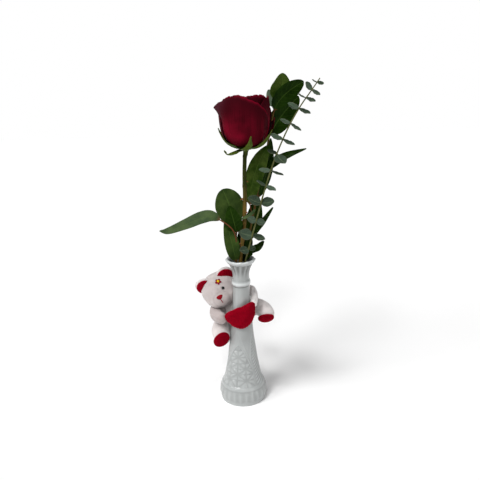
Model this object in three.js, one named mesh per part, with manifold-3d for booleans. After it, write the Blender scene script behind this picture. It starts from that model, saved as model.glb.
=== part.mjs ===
// A dark red rose with foliage in a milk-glass bud vase, and the small plush bear that hugs the vase.
// Millimetres, +Z up. The origin is the centre of the vase's foot, on the surface that it stands on.
// The front of the arrangement faces -Y, and an azimuth of 0 degrees is the front, 90 degrees is +X.
import * as THREE from "three";
import { mergeVertices } from "three/addons/utils/BufferGeometryUtils.js";
import Module from "manifold-3d";

const library = await Module();
library.setup();

// Clearance between two neighbouring pieces
const GAP = 0.35;
// Thickness of every leaf, petal and sepal
const BLADE = 0.8;

// Vase: its height, then the [height, radius] pairs of its outer and inner walls
const VASE_HEIGHT = 228;
const VASE_FLOOR = 9;
const VASE_SIDES = 48;
const VASE_OUTER = [
  [0, 34.8], [4, 35.6], [11, 38.1], [17, 36.9], [24, 34.4], [31, 31.6], [38, 28.9], [50, 26.1],
  [65, 23.2], [85, 20.6], [105, 17.9], [130, 15.9], [160, 13.6], [186, 12.7], [188.5, 13.3],
  [190.5, 14.2], [194, 14.2], [196.5, 13.3], [198.5, 12.6], [204, 12.5], [212, 13.8], [222, 18.8],
  [228, 21.9], [229.4, 21.2],
];
const VASE_INNER = [
  [9, 26], [14, 30], [24, 29], [38, 25], [65, 19.7], [105, 14.5], [130, 12.6], [160, 10.4],
  [186, 9.6], [204, 9.5], [212, 10.4], [222, 14.6], [229, 17.8], [233, 18.6],
];
// Fluted foot, the smooth band over it, and the pointed-arch panels over the band
const FOOT_HEIGHT = 24;
const FOOT_FLUTES = 24;
const FOOT_FLUTE_DEPTH = 0.9;
const BAND_FROM = 24.4;
const BAND_TO = 31.6;
const BAND_RISE = 0.9;
const BAND_EDGE = 0.6;
const PANEL_COUNT = 3;
const PANEL_AZIMUTH = -19;
const PANEL_FROM = 31;
const PANEL_TO = 95;
const PANEL_ARCH_HEIGHT = 40;
const PANEL_RISE = 0.6;
const RELIEF_FADE = 3;
// Fluted neck and the scalloped rim
const NECK_FLUTES = 12;
const NECK_FLUTE_FROM = 198.5;
const NECK_FLUTE_FADE = 8;
const NECK_FLUTE_DEPTH = 1.1;
const SCALLOP_FROM = 214;
const SCALLOP_RISE = 0.7;
const WATER_LEVEL = 150;
const WATER_GAP = 0.6;

// Rose: its stem's path from the vase's floor to the bloom, and the bloom's height where it is widest
const ROSE_STEM_RADIUS = 3.1;
const ROSE_STEM_PATH = [
  [-3, 2, 9.35], [-0.4, 1.2, 140], [0, 1, 190], [0.1, 0.8, 215], [0.8, 0.4, 232], [2.6, 0, 247],
  [4.6, 0, 260], [7.2, -0.4, 286], [8.8, -0.8, 318], [8.8, -1, 352], [10, -1, 380], [11, -1, 390],
];
const BLOOM_BASE = [11.2, -1, 394.2];
const BLOOM_WIDEST = 44;
const BLOOM_HEIGHT = 69;

// Foliage, with the usual shape of a leaf and the cells of its blade
const SPRIG_STEM_RADIUS = 1.5;
const EUCALYPTUS_STEM_RADIUS = 1.2;
const LEAF = { fold: 0.25, stalk: 0.12, widest: 0.85, blunt: 0.7, along: 7, across: 2 };

// Plush bear
const HEAD_RADIUS = 29;
const HEAD_CENTRE = [-33.7, 29.5, 169];
const HEAD_LIFT = -15.4;
const HEAD_TILT = -27.3;
const HEAD_TURN = -3.1;
// Right ear in the head's frame: its centre, the line that it is sewn on by, and the way that it stands out
const EAR_CENTRE = [19, -7.6, 15.1];
const EAR_SEAM = [18.9, 13.2, -13.4];
const EAR_OUT = [8.6, -2.7, 6.5];
const EAR_RADII = [14.4, 3.6, 12.6];
const LINING_RADII = [13, 2.2, 11.2];
const LINING_LIFT = 3.6;
const HEART_CENTRE = [-2.2, 146.9];
const HEART_WRAP_RADIUS = 36;
const HEART_HALF_THICKNESS = 5;

const UP = new THREE.Vector3(0, 0, 1);
const radians = THREE.MathUtils.degToRad;
const clamp = THREE.MathUtils.clamp;

function vector(list) {
  return new THREE.Vector3(...list);
}

// Value at x of the smooth curve through [x, value] pairs, with no overshoot between them.
function smoothAt(pairs, x) {
  const last = pairs.length - 1;
  const place = clamp(x, pairs[0][0], pairs[last][0]);
  let i = 0;
  while (i < last - 1 && place > pairs[i + 1][0]) i += 1;
  const slope = (k) => (pairs[k + 1][1] - pairs[k][1]) / (pairs[k + 1][0] - pairs[k][0]);
  const tangent = (k) => {
    if (k === 0) return slope(0);
    if (k === last) return slope(last - 1);
    const product = slope(k - 1) * slope(k);
    return product <= 0 ? 0 : (2 * product) / (slope(k - 1) + slope(k));
  };
  const width = pairs[i + 1][0] - pairs[i][0];
  const t = (place - pairs[i][0]) / width;
  const start = pairs[i][1] * (1 + 2 * t) * (1 - t) ** 2 + tangent(i) * width * t * (1 - t) ** 2;
  const end = pairs[i + 1][1] * t * t * (3 - 2 * t) - tangent(i + 1) * width * t * t * (1 - t);
  return start + end;
}

// Geometry from shared vertices, as vectors, and triangles, as index triples.
function indexed(vertices, triangles) {
  const geometry = new THREE.BufferGeometry();
  const numbers = vertices.flatMap((v) => [v.x, v.y, v.z]);
  geometry.setAttribute("position", new THREE.Float32BufferAttribute(numbers, 3));
  geometry.setIndex(triangles.flat());
  return geometry;
}

// Closed body from rings of equally many vertices, bottom ring first, with a point closing each end.
function ringBody(rings, firstPoint, lastPoint) {
  const sides = rings[0].length;
  const vertices = rings.flat();
  const triangles = [];
  for (let j = 0; j < rings.length - 1; j += 1) {
    for (let i = 0; i < sides; i += 1) {
      const a = j * sides + i;
      const b = j * sides + ((i + 1) % sides);
      triangles.push([a, b, b + sides], [a, b + sides, a + sides]);
    }
  }
  const first = vertices.push(firstPoint) - 1;
  const last = vertices.push(lastPoint) - 1;
  const top = (rings.length - 1) * sides;
  for (let i = 0; i < sides; i += 1) {
    const next = (i + 1) % sides;
    triangles.push([first, next, i], [last, top + i, top + next]);
  }
  return indexed(vertices, triangles);
}

// Turned body about the Z axis, whose radius may change with the azimuth as well as with the height.
function turned(heights, sides, radiusAt, heightAt = (height) => height) {
  const rings = heights.map((height) =>
    Array.from({ length: sides }, (_, i) => {
      const azimuth = (i * 2 * Math.PI) / sides;
      const radius = radiusAt(height, azimuth);
      const z = heightAt(height, azimuth);
      return new THREE.Vector3(radius * Math.sin(azimuth), -radius * Math.cos(azimuth), z);
    }),
  );
  const floor = new THREE.Vector3(0, 0, heights[0]);
  const roof = new THREE.Vector3(0, 0, heights[heights.length - 1]);
  return ringBody(rings, floor, roof);
}

// Tube of one radius along a smooth path, with steps rings for each stretch between two points of it.
function tube(path, radius, steps, sides) {
  const curve = new THREE.CatmullRomCurve3(path.map(vector), false, "centripetal");
  const count = steps * (path.length - 1);
  const forward = new THREE.Vector3(0, 1, 0);
  const rings = [];
  for (let j = 0; j <= count; j += 1) {
    const centre = curve.getPoint(j / count);
    const tangent = curve.getTangent(j / count);
    const right = new THREE.Vector3().crossVectors(forward, tangent).normalize();
    const back = new THREE.Vector3().crossVectors(tangent, right);
    rings.push(
      Array.from({ length: sides }, (_, i) => {
        const turn = (i * 2 * Math.PI) / sides;
        const across = right.clone().multiplyScalar(radius * Math.cos(turn));
        return centre.clone().add(across).addScaledVector(back, radius * Math.sin(turn));
      }),
    );
  }
  return ringBody(rings, curve.getPoint(0), curve.getPoint(1));
}

// Stuffed limb: a tube with round ends, whose radii are spread evenly along its path.
function limb(path, radii, grow = 0, steps = 7, sides = 10) {
  const curve = new THREE.CatmullRomCurve3(path.map(vector), false, "centripetal");
  const pairs = radii.map((radius, i) => [i / (radii.length - 1), radius + grow]);
  const frames = curve.computeFrenetFrames(steps);
  const rings = [];
  const ring = (t, frame, radius, shift) => {
    const centre = curve.getPointAt(t).addScaledVector(frames.tangents[frame], shift);
    return Array.from({ length: sides }, (_, i) => {
      const turn = (i * 2 * Math.PI) / sides;
      const across = frames.normals[frame].clone().multiplyScalar(radius * Math.cos(turn));
      return centre.clone().add(across).addScaledVector(frames.binormals[frame], radius * Math.sin(turn));
    });
  };
  const startRadius = pairs[0][1];
  const endRadius = pairs[pairs.length - 1][1];
  const capAngles = [75, 45, 18].map(radians);
  capAngles.forEach((a) => rings.push(ring(0, 0, startRadius * Math.cos(a), -startRadius * Math.sin(a))));
  for (let j = 0; j <= steps; j += 1) rings.push(ring(j / steps, j, smoothAt(pairs, j / steps), 0));
  [...capAngles]
    .reverse()
    .forEach((a) => rings.push(ring(1, steps, endRadius * Math.cos(a), endRadius * Math.sin(a))));
  const first = curve.getPointAt(0).addScaledVector(frames.tangents[0], -startRadius);
  const last = curve.getPointAt(1).addScaledVector(frames.tangents[steps], endRadius);
  return ringBody(rings, first, last);
}

// Blade of even thickness over a surface pointAt(u, v), with u from -1 to 1 across and v from 0 to 1 along.
function blade(across, along, thickness, pointAt) {
  const step = 1e-3;
  const faces = [[], []];
  for (let j = 0; j <= along; j += 1) {
    for (let i = 0; i <= across; i += 1) {
      const u = (2 * i) / across - 1;
      const v = j / along;
      const point = pointAt(u, v);
      const sideways = pointAt(u + step, v).sub(pointAt(u - step, v));
      const onwards = pointAt(u, Math.min(v + step, 1)).sub(pointAt(u, Math.max(v - step, 0)));
      const normal = sideways.cross(onwards).normalize();
      faces[0].push(point.clone().addScaledVector(normal, thickness / 2));
      faces[1].push(point.clone().addScaledVector(normal, -thickness / 2));
    }
  }
  const columns = across + 1;
  const under = faces[0].length;
  const triangles = [];
  for (let j = 0; j < along; j += 1) {
    for (let i = 0; i < across; i += 1) {
      const a = j * columns + i;
      const b = a + 1;
      const c = b + columns;
      const d = a + columns;
      triangles.push([a, b, c], [a, c, d]);
      triangles.push([under + a, under + c, under + b], [under + a, under + d, under + c]);
    }
  }
  const rim = [];
  for (let i = 0; i < across; i += 1) rim.push(i);
  for (let j = 0; j < along; j += 1) rim.push(j * columns + across);
  for (let i = across; i > 0; i -= 1) rim.push(along * columns + i);
  for (let j = along; j > 0; j -= 1) rim.push(j * columns);
  rim.forEach((p, i) => {
    const q = rim[(i + 1) % rim.length];
    triangles.push([p, under + q, q], [p, under + p, under + q]);
  });
  return indexed([...faces[0], ...faces[1]], triangles);
}

// Ellipsoid with its radii along the three axes, turned and placed by a matrix or a centre.
function ellipsoid(radii, centre, turn = new THREE.Quaternion(), columns = 14, rows = 9) {
  const geometry = new THREE.SphereGeometry(1, columns, rows);
  geometry.applyMatrix4(new THREE.Matrix4().compose(vector(centre), turn, vector(radii)));
  return geometry;
}

function solid(geometry) {
  const bare = geometry.clone();
  bare.deleteAttribute("normal");
  bare.deleteAttribute("uv");
  const merged = mergeVertices(bare, 1e-4);
  const body = { numProp: 3, vertProperties: merged.attributes.position.array };
  const triVerts = new Uint32Array(merged.index.array);
  return new library.Manifold(new library.Mesh({ ...body, triVerts }));
}

function fused(geometries) {
  return geometries.map(solid).reduce((whole, piece) => whole.add(piece));
}

function cut(body, cutters) {
  return cutters.reduce((rest, cutter) => rest.subtract(cutter), body);
}

// The biggest separate body, without loose scraps or the walls of a sealed hollow.
function largest(body) {
  return body.decompose().reduce((best, piece) => (piece.volume() > best.volume() ? piece : best));
}

function geometryOf(body) {
  const mesh = body.getMesh();
  const geometry = new THREE.BufferGeometry();
  geometry.setAttribute("position", new THREE.BufferAttribute(mesh.vertProperties, 3));
  geometry.setIndex(new THREE.BufferAttribute(mesh.triVerts, 1));
  geometry.computeVertexNormals();
  return geometry;
}

function finish(colour, roughness) {
  return new THREE.MeshStandardMaterial({ color: colour, roughness, metalness: 0 });
}

const FINISH = {
  milkGlass: finish(0xb4b8b7, 0.18),
  water: finish(0xbfd2d4, 0.05),
  roseStem: finish(0x4a4f1c, 0.55),
  petal: finish(0x5a0614, 0.7),
  leaf: finish(0x2c4a1a, 0.35),
  eucalyptus: finish(0x4b6152, 0.6),
  whitePlush: finish(0xcfc5c4, 0.95),
  redPlush: finish(0x96001a, 0.9),
  eye: finish(0x0b0b12, 0.15),
  yellow: finish(0xe0bd10, 0.8),
};

function piece(name, body, material) {
  const mesh = new THREE.Mesh(geometryOf(body), material);
  mesh.name = name;
  return mesh;
}

// Vase

// 1 between two heights and 0 outside them, with an even slope over the last stretch at each end.
function between(height, from, to, fade) {
  return clamp((height - from) / fade, 0, 1) * clamp((to - height) / fade, 0, 1);
}

// Half the angle that a pointed-arch panel takes at a height, in degrees.
function panelHalfAngle(height) {
  if (height < PANEL_FROM) return 0;
  return (180 / PANEL_COUNT) * clamp((PANEL_TO - height) / PANEL_ARCH_HEIGHT, 0, 1) ** 0.6;
}

function vaseRadius(height, azimuth) {
  let radius = smoothAt(VASE_OUTER, height);
  const footGroove = Math.abs(Math.sin((azimuth * FOOT_FLUTES) / 2));
  radius -= FOOT_FLUTE_DEPTH * footGroove * between(height, -RELIEF_FADE, FOOT_HEIGHT, RELIEF_FADE);
  radius += BAND_RISE * between(height, BAND_FROM, BAND_TO, BAND_EDGE);
  const panelStep = 360 / PANEL_COUNT;
  const fromPanel = (THREE.MathUtils.radToDeg(azimuth) - PANEL_AZIMUTH) / panelStep;
  const offAxis = Math.abs(fromPanel - Math.round(fromPanel)) * panelStep;
  if (offAxis < panelHalfAngle(height)) radius += PANEL_RISE;
  const neck = clamp((height - NECK_FLUTE_FROM) / NECK_FLUTE_FADE, 0, 1);
  radius -= NECK_FLUTE_DEPTH * neck * (0.5 - 0.5 * Math.cos(azimuth * NECK_FLUTES));
  return radius;
}

function vaseHeightAt(height, azimuth) {
  const rim = clamp((height - SCALLOP_FROM) / (VASE_HEIGHT - SCALLOP_FROM), 0, 1);
  return height + SCALLOP_RISE * rim * Math.cos(azimuth * NECK_FLUTES);
}

const OUTER_HEIGHTS = [
  0, 5, 11, 18, 24.4, 25, 31, 31.6, 38, 50, 66, 82, 95, 125, 158, 186, 188.5, 190.5, 194, 196.5, 198.5,
  206, 213, 220, 228, 229.4,
];
const INNER_HEIGHTS = [9, 13, 24, 38, 65, 105, 150, 186, 204, 213, 220, 229, 233];

function vase() {
  const outside = solid(turned(OUTER_HEIGHTS, VASE_SIDES, vaseRadius, vaseHeightAt));
  const inside = solid(turned(INNER_HEIGHTS, VASE_SIDES / 2, (height) => smoothAt(VASE_INNER, height)));
  return outside.subtract(inside);
}

// The vase's outside, grown by the clearance: what stands against the vase is cut by it.
function vaseEnvelope() {
  const grown = (height, azimuth) => vaseRadius(height, azimuth) + GAP + 0.05;
  return solid(turned(OUTER_HEIGHTS, VASE_SIDES, grown, vaseHeightAt));
}

function water(stems) {
  const heights = [VASE_FLOOR + GAP, 12, 20, 38, 65, 105, 130, WATER_LEVEL];
  const wall = (height) => smoothAt(VASE_INNER, height) - WATER_GAP;
  return cut(solid(turned(heights, VASE_SIDES / 2, wall)), stems);
}

// Rose

// Stem grown by a clearance, and longer at its foot, so that it cuts a hole right through.
function stemHole([path, radius, sides]) {
  const points = path.map((point) => [...point]);
  points[0][2] -= 2;
  return solid(tube(points, radius + GAP + 0.05, 1, sides));
}

function thorn(height, azimuth, size) {
  const turn = radians(azimuth);
  const outward = new THREE.Vector3(Math.sin(turn), -Math.cos(turn), 0.1).normalize();
  const place = pathAtHeight(ROSE_STEM_PATH, height);
  const cone = new THREE.ConeGeometry(size * 0.42, size * 1.5, 5);
  cone.applyQuaternion(new THREE.Quaternion().setFromUnitVectors(new THREE.Vector3(0, 1, 0), outward));
  const centre = place.addScaledVector(outward, ROSE_STEM_RADIUS + size * 0.35);
  return cone.translate(centre.x, centre.y, centre.z);
}

// Point of a rising path at a height.
function pathAtHeight(path, height) {
  const x = smoothAt(path.map((p) => [p[2], p[0]]), height);
  const y = smoothAt(path.map((p) => [p[2], p[1]]), height);
  return new THREE.Vector3(x, y, height);
}

// Leaf along a spine of points, facing a direction, with its halves folded up from the rib. A lower value
// of widest puts its widest place nearer the stalk, and a lower value of blunt makes its ends rounder.
function leaf(options) {
  const { spine, halfWidth, facing, fold, stalk, widest, blunt, along, across } = { ...LEAF, ...options };
  const curve = new THREE.CatmullRomCurve3(spine.map(vector), false, "centripetal");
  const towards = vector(facing).normalize();
  return blade(across, along, BLADE, (u, v) => {
    const tangent = curve.getTangent(v);
    const side = new THREE.Vector3().crossVectors(tangent, towards).normalize();
    const raised = new THREE.Vector3().crossVectors(side, tangent).normalize();
    const body = clamp((v - stalk) / (1 - stalk), 0, 1);
    const width = 0.7 + halfWidth * Math.sin(Math.PI * body ** widest) ** blunt;
    const point = curve.getPoint(v);
    return point.addScaledVector(side, u * width).addScaledVector(raised, fold * Math.abs(u) * width);
  });
}

// Sepals: half width, then the spine
const SEPALS = [
  [7, [[11, -1, 391.5], [1, -9, 391.8], [-6, -12, 394], [-14.5, -14, 399.5], [-21, -14, 408],
    [-25.8, -12.5, 420]]],
  [5.5, [[11, -1, 390], [0, -15, 387], [-8, -24, 384.6], [-15, -27, 386], [-18.3, -26, 391]]],
  [7.6, [[11, -1, 390], [10, -13, 389.6], [11.5, -28, 390.6], [16.5, -36, 397], [18.3, -38, 409.5]]],
  [5.8, [[11, -1, 391.5], [24, -10, 391.2], [35.5, -19, 397], [42, -24, 406], [47.3, -26, 417]]],
  [6, [[11, -1, 390], [12, 10, 391], [13, 24, 391], [16, 35, 396], [15, 38, 408]]],
];

function roseStem() {
  const stem = tube(ROSE_STEM_PATH, ROSE_STEM_RADIUS, 1, 8);
  const [x, y, top] = BLOOM_BASE;
  const hip = [[top - 13, 3.0], [top - 8, 3.6], [top - 5, 5.6], [top - 2, 7.4], [top - GAP, 7.8]];
  const heights = hip.map((pair) => pair[0]);
  const receptacle = turned(heights, 10, (height) => smoothAt(hip, height)).translate(x, y, 0);
  const sepals = SEPALS.map(([halfWidth, spine]) =>
    leaf({ spine, halfWidth, facing: [0, 0, 1], fold: 0.15, stalk: 0, widest: 0.6, along: 6 }),
  );
  const thorns = [[252, -60, 5], [276, 150, 5], [300, 40, 4.5], [319, -85, 5], [344, 110, 4.5]];
  const pieces = [stem, receptacle, ...sepals, ...thorns.map((t) => thorn(...t))];
  return largest(fused(pieces));
}

// Radius of the cup of the bloom at a height above its base, for a petal of one radius.
function cupRadius(radius, height) {
  const low = clamp(height / BLOOM_WIDEST, 0.0005, 1);
  const closing = clamp((height - BLOOM_WIDEST) / (BLOOM_HEIGHT - BLOOM_WIDEST), 0, 1.2);
  return radius * (1 - (1 - low) ** 2.6) ** 0.25 * (1 - 0.13 * closing ** 2);
}

function roundRim(height) {
  const side = height * 0.93;
  const corner = height * 0.66;
  return [[-1, corner], [-0.6, side], [0, height], [0.6, side], [1, corner]];
}

// Outer petals by hand: azimuth, half span, radius, height of the rim by place across, roll of the rim
const OUTER_PETALS = [
  { azimuth: -4, span: 72, radius: 34.2, roll: [[-1, 10], [-0.7, 7], [-0.4, 2], [0, 0.5], [1, 1.5]],
    rim: [[-1, 50], [-0.5, 62], [-0.18, 68.5], [0.15, 63], [0.65, 51], [0.85, 42], [1, 24]] },
  { azimuth: 98, span: 26, radius: 36.6, roll: [[-1, 3], [0, 5], [1, 2]],
    rim: [[-1, 12], [0, 37], [0.4, 33], [1, 12]] },
  { azimuth: -116, span: 46, radius: 35.2, rim: roundRim(55), roll: [[-1, 2], [1, 1]] },
  { azimuth: 152, span: 60, radius: 34.8, rim: roundRim(64), roll: [[-1, 2], [1, 3]] },
  { azimuth: 84, span: 60, radius: 33, rim: roundRim(66), roll: [[-1, 1], [1, 1]] },
  { azimuth: -150, span: 60, radius: 33.8, rim: roundRim(63), roll: [[-1, 3], [1, 1]] },
  { azimuth: -42, span: 60, radius: 31.6, rim: roundRim(66), roll: [[-1, 1], [1, 0.5]] },
  { azimuth: 38, span: 60, radius: 30.1, rim: roundRim(69), roll: [[-1, 0.5], [1, 1]] },
];
const INNER_PETALS = 8;
const INNER_FIRST_RADIUS = 28;
const INNER_STEP = 2.6;
const GOLDEN_ANGLE = 137.5;

function petal({ azimuth, span, radius, rim, roll, across = 6, along = 4 }) {
  const lift = 0.8 * (36.6 - radius);
  return blade(across, along, BLADE, (u, v) => {
    const place = clamp(u, -1, 1);
    const height = 0.02 + (smoothAt(rim, place) - lift) * v ** 2.2;
    const rolled = smoothAt(roll, place) * clamp((v - 0.6) / 0.4, 0, 1) ** 2;
    const around = radians(azimuth + span * u * (0.5 + 0.5 * clamp(v / 0.6, 0, 1)));
    const out = cupRadius(radius, height) + rolled;
    return new THREE.Vector3(out * Math.sin(around), -out * Math.cos(around), lift + height);
  });
}

function bloom() {
  const heart = [[0, 7.6], [4, 8.4], [12, 8.2], [26, 7.6], [44, 7], [56, 5], [60, 2]];
  const heights = heart.map((pair) => pair[0]);
  const core = turned(heights, 10, (height) => smoothAt(heart, height));
  const inner = Array.from({ length: INNER_PETALS }, (_, i) => ({
    azimuth: 60 + i * GOLDEN_ANGLE,
    span: 64 + 4 * i,
    radius: INNER_FIRST_RADIUS - INNER_STEP * i,
    rim: roundRim(67.5 - 0.4 * i),
    roll: [[-1, 0.8], [1, 0.3]],
    across: 5,
    along: 3,
  }));
  const petals = [...OUTER_PETALS, ...inner].map(petal);
  return largest(fused([core, ...petals]));
}

// Broad-leaved sprigs

const RIGHT_STEM = [
  [6, 14, 9.35], [5.4, 7.2, 130], [4.9, 5.8, 190], [5.2, 6, 212], [8, 7.5, 230], [13, 9, 255],
  [22, 10, 300], [33, 12.5, 350], [43.5, 16.5, 395], [50.5, 20, 430], [55, 21.5, 452],
];
const RIGHT_LEAVES = [
  { spine: [[54.6, 21.3, 450], [59, 24, 460], [64, 25, 474], [65.5, 24, 490.5]],
    halfWidth: 12, facing: [0, -1, 0.2], blunt: 0.5 },
  { spine: [[51.8, 20.4, 436], [57.5, 17, 450], [71.5, 13, 465], [93.3, 13, 478.5]],
    halfWidth: 13, facing: [0.1, -1, -0.3], widest: 1.15, blunt: 0.6 },
  { spine: [[45, 17.2, 402], [52, 25, 415], [66, 26, 435], [88, 24, 459]],
    halfWidth: 16, facing: [0.2, -1, -0.1], widest: 1.1, blunt: 0.6 },
  { spine: [[53.2, 20.8, 443], [49, 24, 455], [46, 26, 469]],
    halfWidth: 6.5, facing: [0.3, -1, 0], blunt: 0.6, along: 5 },
  { spine: [[19.7, 9.6, 290], [16, 7.5, 315], [23, 7.5, 350], [32.5, 7.5, 374], [44, 7.5, 393.5]],
    halfWidth: 12.5, facing: [-0.2, -1, 0], fold: -0.2, stalk: 0.2 },
  { spine: [[34, 12.8, 352], [46, 12.5, 364], [68, 11, 377], [98, 12, 387]],
    halfWidth: 6.5, facing: [0, -0.8, 0.6] },
  { spine: [[24.3, 10.6, 310], [35, 17, 334], [44.5, 21, 366], [48, 21, 402]],
    halfWidth: 8, facing: [0.5, -1, 0] },
  { spine: [[13.6, 9.1, 258], [18.5, 13, 274], [23.5, 15, 293], [28, 15, 321]],
    halfWidth: 12.5, facing: [0, -1, 0.1], fold: 0.1, stalk: 0.03 },
  { spine: [[12, 8.7, 250], [20, 11, 264], [34, 13, 281], [50, 12, 303]],
    halfWidth: 4.5, facing: [0.5, -0.8, 0.5], along: 5 },
  { spine: [[8.4, 7.6, 232], [18, 4, 240], [27, 2, 245], [35.5, 1, 255]],
    halfWidth: 5.5, facing: [0.2, -0.7, 0.7] },
  { spine: [[7.6, 7.3, 228], [10, 6.4, 240], [11, 6.2, 254], [9, 7.5, 270]],
    halfWidth: 5.5, facing: [0, -1, 0], stalk: 0.2, along: 5 },
  { spine: [[8, 7.5, 229], [8, 13, 240], [7, 15.5, 256], [5, 15.5, 278]],
    halfWidth: 11.5, facing: [0, -1, 0.1], stalk: 0.2, along: 5 },
];

const LEFT_STEM = [
  [-14, -6, 9.35], [-7.4, -2.8, 130], [-5.8, -1.8, 190], [-5.7, -1.5, 212], [-6.2, -1, 232],
  [-6, 0.4, 252], [-4.6, 2, 268], [-4, 3, 278],
];
const LEFT_LEAVES = [
  { spine: [[-4, 3, 276], [-9, 6, 290], [-15, 6.5, 312], [-23, 5, 333]],
    halfWidth: 20.5, facing: [0.1, -1, 0.1], fold: -0.1, widest: 1.1, blunt: 0.55, along: 8 },
  { spine: [[-4.8, 1.8, 266], [-6, -3, 277], [-9, -6, 292], [-15, -7, 310]],
    halfWidth: 13.5, facing: [-0.1, -1, 0] },
  { spine: [[-6.2, -0.8, 246], [-5.5, -5.6, 262], [-11, -8, 277], [-27.7, -8, 290.5], [-40, -8, 296],
      [-54, -9, 294.5], [-78, -11, 285.5], [-105, -12, 276.5], [-115, -12, 277.5]],
    halfWidth: 9.5, facing: [0, -0.75, 0.65], stalk: 0.38, widest: 0.68, blunt: 0.95, along: 14, fold: 0.2 },
  { spine: [[-5.9, -1.4, 224], [-9.5, -4.6, 242], [-14.5, -2.5, 266], [-20, 1, 292]], halfWidth: 10,
    facing: [0.1, -1, 0.2], stalk: 0.04 },
];

function sprig(stemPath, leaves) {
  const stem = tube(stemPath, SPRIG_STEM_RADIUS, 1, 6);
  return largest(fused([stem, ...leaves.map(leaf)]));
}

// Eucalyptus sprig

const EUCALYPTUS_STEM = [
  [10, -12, 9.35], [6.6, -6, 130], [5.7, -4.7, 190], [5.8, -4.8, 212], [8.4, -6.8, 230], [13.5, -9.5, 250],
  [24.8, -13, 291.5], [35.5, -16, 330.5], [45.8, -18, 363], [55.7, -19.5, 389.5], [70.3, -20, 421],
  [85, -20, 446], [100.8, -19, 467.5], [110.5, -19, 481],
];
// Pairs of leaves: height of the node and turn about the stem in degrees, then the left and the right leaf,
// each with its length, its lift and its tilt towards the front in degrees
const EUCALYPTUS_PAIRS = [
  [246, 38, [16, -4, 42], [12, 15, 30]],
  [267, 8, [20, 5, 62], [20, -4, 14]],
  [289, 0, [13, 3, 55], [13, 0, 50]],
  [315, 0, [20, 10, 42], [19, 24, 42]],
  [340, 0, [15, 12, 8], [15.5, -10, -38]],
  [361, 0, [16.5, -12, -36], [19, -2, 2]],
  [383, -48, [17, 5, 18], [21, -14, 50]],
  [403, 0, [19.5, 0, -26], [18, 0, 16]],
  [424, 0, [15, -6, -24], [17.5, -6, 17]],
  [443, 0, [16.5, -6, -28], [17, 10, 22]],
  [456.5, 0, [11.5, -10, -3], [13, 22, 15]],
  [466.5, 0, [12.5, 16, 20], [12, 8, 7]],
  [476, 0, [6.5, -8, -10], [8, 28, 24]],
];

function eucalyptusPair([height, turn, ...leaves]) {
  const node = pathAtHeight(EUCALYPTUS_STEM, height);
  const along = pathAtHeight(EUCALYPTUS_STEM, height + 1).sub(node).normalize();
  const across = new THREE.Vector3().crossVectors(new THREE.Vector3(0, 1, 0), along).normalize();
  across.applyAxisAngle(along, radians(turn));
  return leaves.map(([length, lift, tilt], i) => {
    const sign = 2 * i - 1;
    const outward = across.clone().multiplyScalar(sign * Math.cos(radians(lift)));
    outward.addScaledVector(along, Math.sin(radians(lift)));
    const tip = node.clone().addScaledVector(outward, length);
    const middle = node.clone().addScaledVector(outward, length * 0.5);
    middle.addScaledVector(along, -0.06 * length);
    const spine = [node.toArray(), middle.toArray(), tip.toArray()];
    const facing = along.clone().multiplyScalar(Math.cos(radians(tilt)));
    facing.y -= Math.sin(radians(tilt));
    const shape = { halfWidth: length * 0.38, fold: 0, stalk: 0.02, along: 4, across: 1 };
    return leaf({ spine, facing: facing.toArray(), ...shape });
  });
}

function eucalyptus() {
  const stem = tube(EUCALYPTUS_STEM, EUCALYPTUS_STEM_RADIUS, 1, 5);
  return largest(fused([stem, ...EUCALYPTUS_PAIRS.flatMap(eucalyptusPair)]));
}

// Plush bear: head, in its own frame with the face towards -Y

function headSolid(grow) {
  const skull = ellipsoid([HEAD_RADIUS + grow, HEAD_RADIUS - 1 + grow, HEAD_RADIUS - 0.5 + grow], [0, 0, 0],
    undefined, 20, 13);
  const muzzle = ellipsoid([13.5 + grow, 12 + grow, 11 + grow], [0, -22.5, -12], undefined, 14, 9);
  return fused([skull, muzzle]);
}

// Flat ellipsoid in the plane of an ear, whose side is 1 or -1, and raised over its front.
function earDisc(side, radii, lift, columns, rows) {
  const mirrored = ([x, y, z]) => new THREE.Vector3(side * x, y, z);
  const out = mirrored(EAR_OUT).normalize();
  const back = new THREE.Vector3().crossVectors(out, mirrored(EAR_SEAM)).normalize();
  if (back.y < 0) back.negate();
  const basis = new THREE.Matrix4().makeBasis(new THREE.Vector3().crossVectors(back, out), back, out);
  const centre = mirrored(EAR_CENTRE).addScaledVector(back, -lift);
  const turn = new THREE.Quaternion().setFromRotationMatrix(basis);
  return solid(ellipsoid(radii, centre.toArray(), turn, columns, rows));
}

function earSolid(side, grow) {
  return earDisc(side, EAR_RADII.map((radius) => radius + grow), 0, 14, 8);
}

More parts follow.
